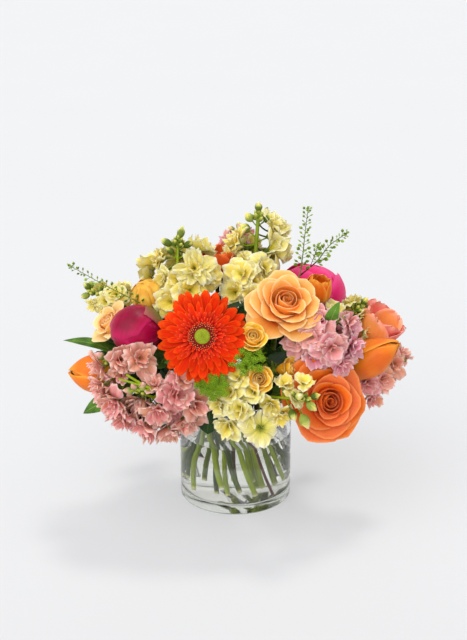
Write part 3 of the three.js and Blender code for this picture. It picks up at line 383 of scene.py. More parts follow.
# ---- Building one piece's mesh -----------------------------------------------------------------------------
class Shape:
    """The vertices, faces and marks of one piece. A mark is (v, u, layer, tone), which the materials read."""

    def __init__(self):
        self.points, self.marks, self.rims = [], [], []
        self.quads, self.quad_slots = [], []
        self.tris, self.tri_slots = [], []
        self.count = 0

    def add(self, points, marks, quads, tris, slot, rim=None):
        self.points.append(points)
        self.marks.append(marks)
        self.rims.append(np.zeros(len(points), bool) if rim is None else rim)
        if len(quads):
            self.quads.append(np.asarray(quads) + self.count)
            self.quad_slots.append(np.full(len(quads), slot))
        if len(tris):
            self.tris.append(np.asarray(tris) + self.count)
            self.tri_slots.append(np.full(len(tris), slot))
        self.count += len(points)

    def sheet(self, grid, thick, v, u, layer=0.5, tone=0.5, slot=0):
        """A closed sheet about the middle surface grid, thick in the middle and sharp along its rim."""
        rows, columns = grid.shape[:2]
        normal = np.cross(np.gradient(grid, axis=1), np.gradient(grid, axis=0))
        normal /= np.maximum(np.linalg.norm(normal, axis=2, keepdims=True), 1e-9)
        from_rim = np.minimum(
            np.minimum(np.arange(rows), np.arange(rows)[::-1])[:, None],
            np.minimum(np.arange(columns), np.arange(columns)[::-1])[None, :],
        )
        half = 0.5 * thick * np.clip(from_rim * 0.75, 0, 1)[:, :, None]
        inside = from_rim > 0
        upper = np.arange(rows * columns).reshape(rows, columns)
        lower = upper.copy()
        lower[inside] = rows * columns + np.arange(inside.sum())
        points = np.concatenate([(grid + normal * half).reshape(-1, 3), (grid - normal * half)[inside]])
        marks = np.stack([v, u, np.full_like(v, layer), np.full_like(v, tone)], axis=2)
        marks = np.concatenate([marks.reshape(-1, 4), marks[inside]])

        def cells(index, flip):
            corners = [index[:-1, :-1], index[:-1, 1:], index[1:, 1:], index[1:, :-1]]
            if flip:
                corners.reverse()
            return np.stack([c.ravel() for c in corners], axis=1)

        rim = np.concatenate([~inside.ravel(), np.zeros(inside.sum(), bool)])
        self.add(points, marks, np.concatenate([cells(upper, False), cells(lower, True)]), [], slot, rim)

    def rings(self, rings, tone=0.5, slot=0, marks_v=None):
        """A closed skin over rings of points, each ring (sides, 3), capped at both ends."""
        rings = arr(rings)
        count, sides = rings.shape[:2]
        points = np.concatenate([rings.reshape(-1, 3), rings[:1].mean(1), rings[-1:].mean(1)])
        v = np.linspace(0, 1, count) if marks_v is None else arr(marks_v)
        u = np.abs(np.linspace(-1, 1, sides, endpoint=False))
        marks = np.empty((len(points), 4))
        marks[:-2, 0] = np.repeat(v, sides)
        marks[:-2, 1] = np.tile(u, count)
        marks[-2, :2] = (v[0], 0)
        marks[-1, :2] = (v[-1], 0)
        marks[:, 2] = 0.5
        marks[:, 3] = tone
        index = np.arange(count * sides).reshape(count, sides)
        after = np.roll(index, -1, axis=1)
        corners = (index[:-1], after[:-1], after[1:], index[1:])
        quads = np.stack([c.ravel() for c in corners], axis=1)
        low, high = count * sides, count * sides + 1
        tris = [(low, after[0, i], index[0, i]) for i in range(sides)]
        tris += [(high, index[-1, i], after[-1, i]) for i in range(sides)]
        self.add(points, marks, quads, tris, slot)

    def tube(self, path, radii, sides=8, **kw):
        """A round tube along path; radii is one number or one for each point."""
        path = arr(path)
        radii = np.broadcast_to(arr(radii), (len(path),))
        tangents = np.gradient(path, axis=0)
        tangents /= np.maximum(np.linalg.norm(tangents, axis=1, keepdims=True), 1e-9)
        side = unit(np.cross(tangents[0], (0.31, 0.95, 0.05)))
        turn = angles(sides)
        rings = []
        for p, t, r in zip(path, tangents, radii):
            side = unit(side - t * side.dot(t))
            other = np.cross(t, side)
            rings.append(p + r * (np.cos(turn)[:, None] * side + np.sin(turn)[:, None] * other))
        self.rings(rings, **kw)

    def turned(self, profile, sides, frame_of, **kw):
        """A turned body from (radius, z) pairs about its own +Z."""
        turn = angles(sides)
        rings = []
        for radius, z in profile:
            ring = [radius * np.cos(turn), radius * np.sin(turn), np.full(sides, z)]
            rings.append(put(np.stack(ring, axis=1), frame_of))
        self.rings(rings, **kw)

    def piece(self, name, materials, slot, *nodes):
        """Makes the object that looks like nodes, if any, and hides those nodes; slot is not used."""
        mesh = bpy.data.meshes.new(name)
        points = np.concatenate(self.points) * MM
        quads = np.concatenate(self.quads) if self.quads else np.zeros((0, 4), int)
        tris = np.concatenate(self.tris) if self.tris else np.zeros((0, 3), int)
        mesh.vertices.add(len(points))
        mesh.vertices.foreach_set("co", points.astype(np.float32).ravel())
        mesh.loops.add(quads.size + tris.size)
        mesh.loops.foreach_set("vertex_index", np.concatenate([quads.ravel(), tris.ravel()]).astype(np.int32))
        mesh.polygons.add(len(quads) + len(tris))
        starts = np.concatenate([np.arange(len(quads)) * 4, quads.size + np.arange(len(tris)) * 3])
        mesh.polygons.foreach_set("loop_start", starts.astype(np.int32))
        mesh.update(calc_edges=True)
        slots = np.concatenate(self.quad_slots + self.tri_slots)
        mesh.polygons.foreach_set("material_index", slots.astype(np.int32))
        mesh.polygons.foreach_set("use_smooth", np.ones(len(mesh.polygons), bool))
        marks = np.concatenate(self.marks).astype(np.float32)
        mesh.attributes.new("petal", "FLOAT_VECTOR", "POINT").data.foreach_set("vector", marks[:, :3].ravel())
        mesh.attributes.new("tone", "FLOAT", "POINT").data.foreach_set("value", marks[:, 3].copy())
        mesh.validate()
        # the two faces of a petal meet in a sharp rim
        ends = np.empty(len(mesh.edges) * 2, np.int32)
        mesh.edges.foreach_get("vertices", ends)
        rim = np.concatenate(self.rims)
        sharp = mesh.attributes.new("sharp_edge", "BOOLEAN", "EDGE")
        sharp.data.foreach_set("value", rim[ends[0::2]] & rim[ends[1::2]])
        for material in materials:
            mesh.materials.append(material)
        obj = linked(name, mesh)
        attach(obj, "root")
        if nodes:
            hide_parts(*nodes)


# ---- Materials ---------------------------------------------------------------------------------------------
class Nodes:
    """A material's node tree, with short calls for the nodes that all of them use."""

    def __init__(self, name):
        self.material = bpy.data.materials.new(name)
        self.material.use_nodes = True
        self.tree = self.material.node_tree
        self.tree.nodes.clear()
        self.out = self.new("ShaderNodeOutputMaterial")

    def new(self, kind, **inputs):
        node = self.tree.nodes.new(kind)
        for key, value in inputs.items():
            self.set(node.inputs[key.replace("_", " ")], value)
        return node

    def set(self, socket, value):
        if isinstance(value, bpy.types.NodeSocket):
            self.tree.links.new(value, socket)
        else:
            socket.default_value = value

    def math(self, operation, a, b=0.0):
        node = self.tree.nodes.new("ShaderNodeMath")
        node.operation = operation
        self.set(node.inputs[0], a)
        self.set(node.inputs[1], b)
        return node.outputs[0]

    def plus(self, a, b):
        return self.math("ADD", a, b)

    def times(self, a, b):
        return self.math("MULTIPLY", a, b)

    def mix(self, factor, a, b, blend="MIX"):
        node = self.tree.nodes.new("ShaderNodeMix")
        node.data_type = "RGBA"
        node.blend_type = blend
        node.clamp_factor = True
        self.set(node.inputs[0], factor)
        self.set(node.inputs[6], a)
        self.set(node.inputs[7], b)
        return node.outputs[2]

    def ramp(self, factor, stops):
        node = self.tree.nodes.new("ShaderNodeValToRGB")
        elements = node.color_ramp.elements
        while len(elements) < len(stops):
            elements.new(0.5)
        for element, (place, colour) in zip(elements, stops):
            element.position = place
            element.color = colour
        self.set(node.inputs[0], factor)
        return node.outputs[0]

    def span(self, value, low, high, to_low=0.0, to_high=1.0):
        node = self.tree.nodes.new("ShaderNodeMapRange")
        node.clamp = True
        node.interpolation_type = "SMOOTHSTEP"
        self.set(node.inputs[0], value)
        for i, number in enumerate((low, high, to_low, to_high)):
            self.set(node.inputs[i + 1], number)
        return node.outputs[0]

    def bump(self, height, strength, distance):
        return self.new("ShaderNodeBump", Strength=strength, Distance=distance, Height=height).outputs[0]

    def finish(self, surface, through=None, glow=0.0):
        """Ends in surface, with a share glow of light that comes through in the colour through."""
        if glow:
            thin = self.new("ShaderNodeBsdfTranslucent", Color=through)
            surface = self.blend(glow, surface, thin)
        self.set(self.out.inputs["Surface"], surface.outputs[0])
        return self.material

    def blend(self, factor, first, second):
        mixed = self.new("ShaderNodeMixShader", Fac=factor)
        self.set(mixed.inputs[1], first.outputs[0])
        self.set(mixed.inputs[2], second.outputs[0])
        return mixed

    def marks(self):
        """(v, u, layer, tone) of the piece's marks."""
        petal = self.tree.nodes.new("ShaderNodeAttribute")
        petal.attribute_name = "petal"
        apart = self.new("ShaderNodeSeparateXYZ", Vector=petal.outputs["Vector"])
        tone = self.tree.nodes.new("ShaderNodeAttribute")
        tone.attribute_name = "tone"
        return apart.outputs[0], apart.outputs[1], apart.outputs[2], tone.outputs["Fac"]

    def noise(self, scale, vector=None, detail=2.0, rough=0.5):
        node = self.new("ShaderNodeTexNoise", Scale=scale, Detail=detail, Roughness=rough)
        if vector is None:
            vector = self.new("ShaderNodeTexCoord").outputs["Object"]
        self.set(node.inputs["Vector"], vector)
        return node.outputs["Fac"]

    def streaks(self, across, along, apart, detail, rough):
        """Noise that is fine across the piece, long along it, and different on each petal or stem."""
        v, u, layer, tone = self.marks()
        fan = self.new("ShaderNodeCombineXYZ")
        for axis, (mark, scale) in enumerate(((u, across), (v, along), (tone, apart))):
            self.set(fan.inputs[axis], self.times(mark, scale))
        return self.noise(1.0, fan.outputs[0], detail, rough)


def petal_material(
    name,
    root,
    body,
    tip,
    edge=None,
    inner=None,
    blush=None,
    alt=None,
    alt_from=0.5,
    alt_share=1.0,
    vein=0.25,
    vein_scale=26.0,
    roughness=0.5,
    sheen=0.04,
    glow=0.16,
    mottle=0.18,
    coat=0.0,
    shine=0.18,
    fade=0.45,
    rim=(0.72, 0.82),
    depth=0.00025,
):
    """A petal: root to tip colours with a deeper root that is partly painted shade, an edge colour that is
    partly painted highlight, a tint of the inner layers that is partly painted shade, fine veins along it and
    soft blotches, with some light coming through."""
    n = Nodes(name)
    v, u, layer, tone = n.marks()
    root = srgb(root)
    # root to tip: the deeper root colour is partly the petal's own and partly painted shade of the bloom's
    # depths, and it reaches further up where fade is high
    colour = n.ramp(v, [(0.0, root), (max(fade - 0.35, 0.05), root), (fade, srgb(body)), (1.0, srgb(tip))])
    across = n.math("ABSOLUTE", u)
    # the inner layers' tint: partly the bloom's own deeper centre, partly painted shade and coloured bounce
    # light in the depths between petals; where it is lighter than the body, as in the orange rose, it is
    # painted light in a shaded heart
    if inner is not None:
        colour = n.mix(n.span(layer, 0.75, 0.0, 0.0, 0.85), colour, srgb(inner))
    if blush is not None:
        patch = n.noise(38.0, detail=2.0)
        colour = n.mix(n.times(n.span(patch, 0.42, 0.68), 0.7), colour, srgb(blush))
    if alt is not None:
        colour = n.mix(n.span(tone, alt_from, alt_from + 0.12, 0.0, alt_share), colour, srgb(alt))
    # the edge colour: a paler rim, partly the petal's own and partly a painted highlight where rims catch the
    # light; where it is darker, as on the gold bud, it is painted shade in the gaps between petals
    border = n.math("MAXIMUM", n.span(across, rim[0], 1.0), n.span(v, rim[1], 1.0))
    if edge is not None:
        colour = n.mix(n.times(border, 0.75), colour, srgb(edge))
    # veins run from the root and fan out
    lines = n.streaks(vein_scale, 2.2, 40.0, 3.0, 0.6)
    shade = n.span(lines, 0.3, 0.72)
    darker = n.mix(1.0, colour, (0.72, 0.62, 0.62, 1), "MULTIPLY")
    colour = n.mix(n.times(n.math("SUBTRACT", 1.0, shade), vein), colour, darker)
    spots = n.noise(120.0, detail=3.0)
    level = n.plus(n.times(spots, mottle), n.times(tone, mottle))
    level = n.plus(level, 1.0 - mottle)
    grey = n.new("ShaderNodeCombineColor", Red=level, Green=level, Blue=level)
    colour = n.mix(1.0, colour, grey.outputs[0], "MULTIPLY")
    relief = n.plus(lines, n.times(spots, 0.5))
    surface = n.new(
        "ShaderNodeBsdfPrincipled",
        Base_Color=colour,
        Roughness=n.plus(n.times(spots, 0.2), roughness - 0.1),
        Normal=n.bump(relief, 0.6, depth),
    )
    surface.inputs["Sheen Weight"].default_value = sheen
    surface.inputs["Sheen Roughness"].default_value = 0.45
    surface.inputs["Specular IOR Level"].default_value = shine
    surface.inputs["Coat Weight"].default_value = coat
    surface.inputs["Coat Roughness"].default_value = 0.3
    return n.finish(surface, colour, glow)


def green_material(name, dark, light, tip=None, roughness=0.45, glow=0.0, cut=None, foot=None):
    """Stem, sepal or bud green: streaks along it, soft patches and a different colour at its tip."""
    n = Nodes(name)
    v, u, layer, tone = n.marks()
    lines = n.streaks(9.0, 3.0, 37.0, 4.0, 0.65)
    patches = n.noise(45.0, detail=3.0)
    factor = n.plus(n.times(lines, 0.5), n.times(patches, 0.5))
    factor = n.plus(factor, n.times(n.math("SUBTRACT", tone, 0.5), 0.8))
    colour = n.mix(n.span(factor, 0.25, 0.75), srgb(dark), srgb(light))
    if tip is not None:
        colour = n.mix(n.span(v, 0.55, 0.95), colour, srgb(tip))
    if foot is not None:
        colour = n.mix(n.span(v, 0.42, 0.30), colour, srgb(foot))
    if cut is not None:
        colour = n.mix(n.span(v, 0.012, 0.0), colour, srgb(cut))
    surface = n.new(
        "ShaderNodeBsdfPrincipled",
        Base_Color=colour,
        Roughness=n.plus(n.times(patches, 0.25), roughness - 0.12),
        Normal=n.bump(lines, 0.5, 0.0004),
    )
    surface.inputs["Specular IOR Level"].default_value = 0.18
    return n.finish(surface, colour, glow)


def leaf_material(name, dark, light, rib):
    """A leaf: a pale midrib, side veins that slant towards the tip, and blotches between them."""
    n = Nodes(name)
    v, u, layer, tone = n.marks()
    across = n.math("ABSOLUTE", u)
    slant = n.math("SUBTRACT", n.times(v, 60.0), n.times(across, 16.0))
    waves = n.math("SINE", n.plus(slant, n.times(n.noise(60.0), 5.0)))
    veins = n.span(waves, 0.75, 1.0)
    patches = n.noise(70.0, detail=4.0)
    factor = n.plus(patches, n.times(n.math("SUBTRACT", tone, 0.5), 0.5))
    rib = srgb(rib)
    colour = n.mix(n.span(factor, 0.3, 0.7), srgb(dark), srgb(light))
    colour = n.mix(n.times(veins, 0.3), colour, rib)
    middle = n.span(across, 0.09, 0.0)
    colour = n.mix(n.times(middle, 0.8), colour, rib)
    height = n.math("SUBTRACT", n.times(patches, 0.4), n.plus(veins, middle))
    surface = n.new(
        "ShaderNodeBsdfPrincipled",
        Base_Color=colour,
        Roughness=n.plus(n.times(patches, 0.25), 0.28),
        Normal=n.bump(height, 0.5, 0.0004),
    )
    surface.inputs["Specular IOR Level"].default_value = 0.25
    return n.finish(surface, n.mix(0.5, colour, rib), 0.25)


def clear_material(name, tint, ior, absorb=None, density=0.0, smear=0.0):
    """Glass or water, which lets the lamps' light pass to what stands in it."""
    n = Nodes(name)
    glass = n.new("ShaderNodeBsdfPrincipled", Base_Color=tint, IOR=ior)
    glass.inputs["Transmission Weight"].default_value = 1.0
    film = n.noise(14.0, detail=3.0)
    n.set(glass.inputs["Roughness"], n.span(film, 0.45, 0.9, 0.0, smear))
    lets = n.new("ShaderNodeBsdfTransparent", Color=tint)
    path = n.new("ShaderNodeLightPath")
    n.finish(n.blend(path.outputs["Is Shadow Ray"], glass, lets))
    if absorb is not None:
        volume = n.new("ShaderNodeVolumeAbsorption")
        volume.inputs["Color"].default_value = srgb(absorb)
        volume.inputs["Density"].default_value = density
        n.set(n.out.inputs["Volume"], volume.outputs[0])
    return n.material


# the root, inner and edge colours below are partly painted shade and painted highlight, as petal_material
# describes
M = {
    "ray": petal_material(
        "gerbera_ray", (156, 6, 0), (226, 36, 2), (238, 54, 6), edge=(250, 88, 16),
        vein=0.7, vein_scale=7.0, roughness=0.6, sheen=0.0, mottle=0.24, shine=0.05, depth=0.0005,
    ),
    "trans": petal_material(
        "gerbera_trans", (140, 4, 2), (200, 14, 4), (246, 66, 24), edge=(252, 104, 54),
        vein=0.2, roughness=0.6, sheen=0.0, mottle=0.3, shine=0.08, rim=(0.95, 0.88),
    ),
    "disc": petal_material(
        "gerbera_disc", (110, 10, 4), (180, 30, 14), (246, 150, 96), vein=0.1, roughness=0.6, mottle=0.35,
    ),
    "eye": green_material(
        "gerbera_eye", (120, 134, 8), (176, 190, 30), tip=(198, 210, 70), roughness=0.6, glow=0.1,
    ),
    "peach": petal_material(
        "rose_peach", (246, 118, 10), (255, 184, 84), (255, 212, 134), edge=(255, 232, 174),
        inner=(255, 168, 62), vein=0.2, roughness=0.55, glow=0.32, mottle=0.08, fade=0.86, rim=(0.9, 0.95),
    ),
    # the inner colour, lighter than the body, is painted light that lifts the shaded heart of the rose
    "orange": petal_material(
        "rose_orange", (232, 74, 2), (248, 112, 12), (251, 134, 38), edge=(254, 168, 98),
        inner=(255, 136, 32), blush=(246, 124, 50), alt=(246, 132, 76), alt_share=0.75, vein=0.22,
        roughness=0.5, glow=0.32, mottle=0.1, fade=0.84, rim=(0.92, 0.95),
    ),
    "pale": petal_material(
        "rose_pale", (250, 166, 52), (254, 210, 122), (255, 226, 162), edge=(255, 232, 184),
        inner=(252, 184, 80), vein=0.12, roughness=0.55, glow=0.26, mottle=0.06, fade=0.7, rim=(0.86, 0.92),
    ),
    "crimson": petal_material(
        "peony_crimson", (104, 2, 34), (158, 0, 54), (174, 4, 66), edge=(192, 26, 88),
        inner=(138, 0, 46), blush=(112, 0, 34), vein=0.5, vein_scale=22.0, roughness=0.42, sheen=0.0,
        glow=0.04, mottle=0.16, coat=0.06,
        shine=0.16, depth=0.0005,
    ),
    "pink": petal_material(
        "peony_pink", (206, 6, 76), (232, 12, 100), (240, 28, 118), edge=(250, 84, 152),
        vein=0.28, vein_scale=34.0, roughness=0.45, mottle=0.06,
    ),
    "tulip": petal_material(
        "tulip_orange", (206, 164, 42), (241, 132, 26), (240, 120, 18), edge=(251, 172, 62),
        blush=(230, 98, 32), vein=0.34, vein_scale=40.0, roughness=0.42, glow=0.08, mottle=0.09, coat=0.05,
    ),
    # a copy of the tulip colours painted lighter, to lift the shade that the top tulip stands in
    "tulip_bright": petal_material(
        "tulip_bright", (252, 196, 60), (255, 154, 34), (255, 138, 26), edge=(255, 186, 70),
        blush=(254, 108, 26), vein=0.26, vein_scale=26.0, roughness=0.45, glow=0.22, mottle=0.07,
    ),
    "tulip_red": petal_material(
        "tulip_red", (120, 90, 20), (232, 72, 16), (238, 92, 34), edge=(244, 120, 56),
        vein=0.35, glow=0.1, vein_scale=30.0, roughness=0.5, mottle=0.1,
    ),
    "coral": petal_material(
        "tulip_coral", (252, 176, 74), (252, 136, 104), (252, 124, 112), edge=(254, 176, 156),
        alt=(254, 164, 88), glow=0.10, vein=0.24, vein_scale=34.0, roughness=0.48, mottle=0.08,
    ),
    "yellow": petal_material(
        "spray_yellow", (230, 140, 4), (252, 196, 36), (255, 224, 96), edge=(255, 244, 170),
        inner=(252, 192, 38), vein=0.22, roughness=0.55, glow=0.3, mottle=0.1, fade=0.86, rim=(0.86, 0.94),
    ),
    # the edge colour, darker than the body, is painted shade in the gaps between the bud's petals
    "gold": petal_material(
        "gold_bud", (160, 130, 24), (248, 192, 62), (253, 214, 96), edge=(226, 158, 48),
        blush=(224, 150, 42), vein=0.6, vein_scale=9.0, roughness=0.55, glow=0.08, mottle=0.1, depth=0.0006,
    ),
    "cream": petal_material(
        "stock_cream", (220, 206, 36), (254, 243, 136), (255, 251, 198), edge=(255, 254, 230),
        inner=(252, 238, 110), alt=(254, 234, 90), alt_from=0.62, alt_share=0.6, vein=0.22, vein_scale=14.0,
        roughness=0.65, glow=0.38, mottle=0.07, fade=0.55,
    ),
    "stock_pink": petal_material(
        "stock_pink", (206, 112, 76), (250, 178, 152), (255, 212, 198), edge=(255, 232, 222),
        inner=(238, 144, 124), blush=(250, 190, 146), alt=(248, 172, 178), alt_from=0.6, alt_share=0.7,
        vein=0.26, vein_scale=14.0, roughness=0.65, glow=0.34, mottle=0.08, fade=0.5,
    ),
    "stock_mauve": petal_material(
        "stock_mauve", (200, 100, 112), (247, 162, 182), (254, 206, 214), edge=(255, 230, 230),
        inner=(236, 126, 156), blush=(250, 190, 168), alt=(250, 192, 174), alt_from=0.6, alt_share=0.7,
        vein=0.26, vein_scale=14.0, roughness=0.65, glow=0.34, mottle=0.08, fade=0.5,
    ),
    "single": petal_material(
        "stock_single", (140, 156, 20), (240, 232, 110), (255, 251, 206), edge=(255, 254, 232),
        vein=0.6, vein_scale=9.0, roughness=0.65, glow=0.24, mottle=0.1, fade=0.34, rim=(0.94, 0.8),
    ),
    "stem": green_material("stem_green", (48, 66, 0), (138, 158, 22), roughness=0.42, cut=(206, 204, 140)),
    "fine": green_material("fine_green", (84, 108, 34), (128, 150, 54), roughness=0.55, foot=(84, 40, 26)),
    "bud": green_material(
        "bud_green", (84, 102, 30), (150, 162, 70), tip=(196, 204, 104), roughness=0.6, glow=0.1,
    ),
    "bud_pink": green_material(
        "bud_pink", (104, 120, 50), (168, 174, 100), tip=(206, 170, 130), roughness=0.6, glow=0.1,
    ),
    "bud_young": green_material(
        "bud_young", (88, 104, 34), (150, 160, 64), tip=(206, 202, 92), roughness=0.6, glow=0.1,
    ),
    "sepal": green_material(
        "sepal_green", (80, 106, 28), (136, 160, 56), tip=(150, 140, 70), roughness=0.55, glow=0.1,
    ),
    "sepal_red": green_material(
        "sepal_blush", (84, 88, 30), (134, 128, 56), tip=(156, 84, 76), roughness=0.5, glow=0.08,
    ),
    "pod": green_material(
        "pod_green", (100, 130, 36), (158, 186, 70), tip=(176, 204, 96), roughness=0.55, glow=0.25,
    ),
    "umbel": green_material(
        "umbel_green", (86, 132, 10), (144, 182, 28), tip=(174, 204, 60), roughness=0.6, glow=0.2,
    ),
    "leaf": leaf_material("leaf_mid", (52, 92, 24), (100, 148, 48), (156, 186, 90)),
    "leaf_dark": leaf_material("leaf_dark", (20, 44, 14), (44, 78, 26), (84, 116, 50)),
    "glass": clear_material("clear_glass", (0.998, 1.0, 0.997, 1), 1.48, (206, 226, 190), 4.0, 0.01),
    "water": clear_material("still_water", (1.0, 0.992, 0.965, 1), 1.33, smear=0.005),
}


# ---- Gerbera -----------------------------------------------------------------------------------------------
# rays in layers, from the outermost in: number, reach, height, droop, half width
RAY_LAYERS = ((24, 47.0, -2.0, 5.0, 4.9), (23, 43.5, 0.8, 3.2, 4.5), (19, 36.0, 2.6, 1.2, 3.5))
RAY_FOOT = 8.5
# narrow florets in rings, from the outermost in: number, foot, reach, height, lift, half width
FLORET_RINGS = (
    (44, 14.5, 28.0, 2.6, 1.6, 1.35),
    (42, 13.0, 24.0, 3.2, 2.6, 1.15),
    (38, 12.0, 20.0, 3.8, 3.4, 0.95),
    (34, 10.5, 16.0, 4.0, 3.8, 0.8),
)
# the small florets of the disc and of the eye
DISC = {"count": 120, "inner": 8.6, "wide": 5.2}
EYE = {"count": 150, "radius": 7.6}


def gerbera():
    face = spot(GERBERA["at"], GERBERA["facing"])
    rng = np.random.default_rng(7)
    rays = Shape()
    V, U = uv(15, 9)
    for layer, (count, reach, height, droop, half_width) in enumerate(RAY_LAYERS):
        for k in range(count):
            azimuth = 2 * math.pi * (k + 0.5 * layer) / count + 0.05 * rng.normal()
            length = reach * (1 + 0.04 * rng.normal()) - RAY_FOOT
            half = half_width * (1 + 0.08 * rng.normal())
            wide = 0.42 + 0.58 * np.sin(math.pi / 2 * np.clip(V / 0.62, 0, 1))
            wide = wide * np.sqrt(np.clip(1 - (np.clip(V - 0.72, 0, 1) / 0.29) ** 2.6, 0.03, 1))
            notch = 0.02 * np.cos(3 * math.pi * U) * ramp(0.75, 1, V)
            x = RAY_FOOT + length * (V + notch)
            y = U * half * wide
            folds = 0.32 * np.cos(3 * math.pi * U) * np.sin(math.pi * np.clip(V * 1.05, 0, 1))
            cup = 0.9 * (U * U) * (1 - 0.6 * V) + folds
            bend = droop * (1 + 0.4 * rng.normal())
            z = height + 2.6 * V * (1 - V) - bend * V**2.2 + cup
            twist = 0.26 * rng.normal()
            z = z + y * np.sin(twist * V)
            y = y + 1.2 * rng.normal() * V**2
            rays.sheet(put(swung(x, y, z, azimuth), face), 0.7, V, U, layer / 3, rng.random())
    back = [(0.5, -7), (7, -6.5), (11, -5), (13.5, -2.5), (14, -1.2), (8, 0.4), (0.5, 0.6)]
    rays.turned(back, 24, face, slot=1, tone=0.4)
    rays.piece("gerbera_rays_look", [M["ray"], M["sepal"]], "gerbera_ray", "gerbera_rays")

    ring = Shape()
    V, U = uv(8, 5)
    for layer, (count, foot, reach, height, lift, half) in enumerate(FLORET_RINGS):
        for k in range(count):
            azimuth = 2 * math.pi * (k + 0.5 * layer) / count + 0.05 * rng.normal()
            length = (reach - foot) * (1 + 0.12 * rng.normal())
            x = foot + length * V
            y = U * half * (0.6 + 0.4 * np.sin(math.pi * np.clip(V * 0.8, 0, 1)))
            y = y * np.sqrt(np.clip(1 - (np.clip(V - 0.7, 0, 1) / 0.32) ** 2, 0.03, 1))
            z = height + lift * V * (1 + 0.2 * rng.normal()) - 1.2 * V**3 + 0.3 * U * U
            ring.sheet(put(swung(x, y, z, azimuth), face), 0.5, V, U, layer / 4, rng.random())
    foot = [(8.4, 1.6), (14, 1.7), (14.5, 3), (12.5, 4.2), (8.4, 5.2)]
    ring.turned(foot, 40, face, slot=1, tone=0.2, marks_v=[0, 0, 0.1, 0.2, 0.2])
    for k in range(DISC["count"]):
        # the disc's small tubular florets, leaning out from the eye
        azimuth = k * GOLDEN
        radius = DISC["inner"] + DISC["wide"] * math.sqrt((k + 0.5) / DISC["count"])
        lean = 0.5 * (radius - 8) / 5
        at = on_ring(radius, azimuth, 5.2 - 1.6 * (radius - DISC["inner"]) / DISC["wide"])
        pin = within(face, at, on_ring(lean, azimuth, 1))
        tall = 2.3 * (1 + 0.18 * rng.normal())
        tube = [(0.34, -0.8), (0.36, tall * 0.6), (0.62, tall * 0.86), (0.3, tall)]
        ring.turned(tube, 5, pin, slot=1, tone=rng.random())
    ring.piece("gerbera_ring_look", [M["trans"], M["disc"]], "gerbera_ring", "gerbera_ring")

    eye = Shape()
    dome = [(8.0, 1.7), (8.1, 4.6), (7.6, 5.8), (6.2, 6.6), (3.6, 6.9), (0.6, 6.4)]
    eye.turned(dome, 32, face, tone=0.3, marks_v=[0, 0.1, 0.2, 0.3, 0.3, 0.3])
    for k in range(EYE["count"]):
        azimuth = k * GOLDEN
        radius = EYE["radius"] * math.sqrt((k + 0.5) / EYE["count"])
        share = radius / EYE["radius"]
        hollow = 0.5 * math.exp(-((radius / 2.2) ** 2))
        height = 6.5 + 0.5 * (1 - share**2) - 1.4 * share**4 - hollow
        lean = 0.35 * radius / EYE["radius"]
        pin = within(face, on_ring(radius, azimuth, height), on_ring(lean, azimuth, 1))
        eye.turned([(0.42, -0.5), (0.44, 0.25), (0.26, 0.62)], 5, pin, tone=rng.random())
    eye.piece("gerbera_eye_look", [M["eye"]], "gerbera_eye", "gerbera_eye")


# ---- Roses -------------------------------------------------------------------------------------------------
def lip_profile(t, start, end, power):
    """(x, z), each 0 at the foot of a petal and 1 at its furthest, for one that rises at slope start and
    bends over to slope end near its lip."""
    steps = np.linspace(0, 1, 80)
    slope = start + (end - start) * steps**power
    x = np.concatenate([[0], np.cumsum(np.cos(slope[:-1]))])
    z = np.concatenate([[0], np.cumsum(np.sin(slope[:-1]))])
    return np.interp(t, steps, x / x[-1]), np.interp(t, steps, z / z.max())


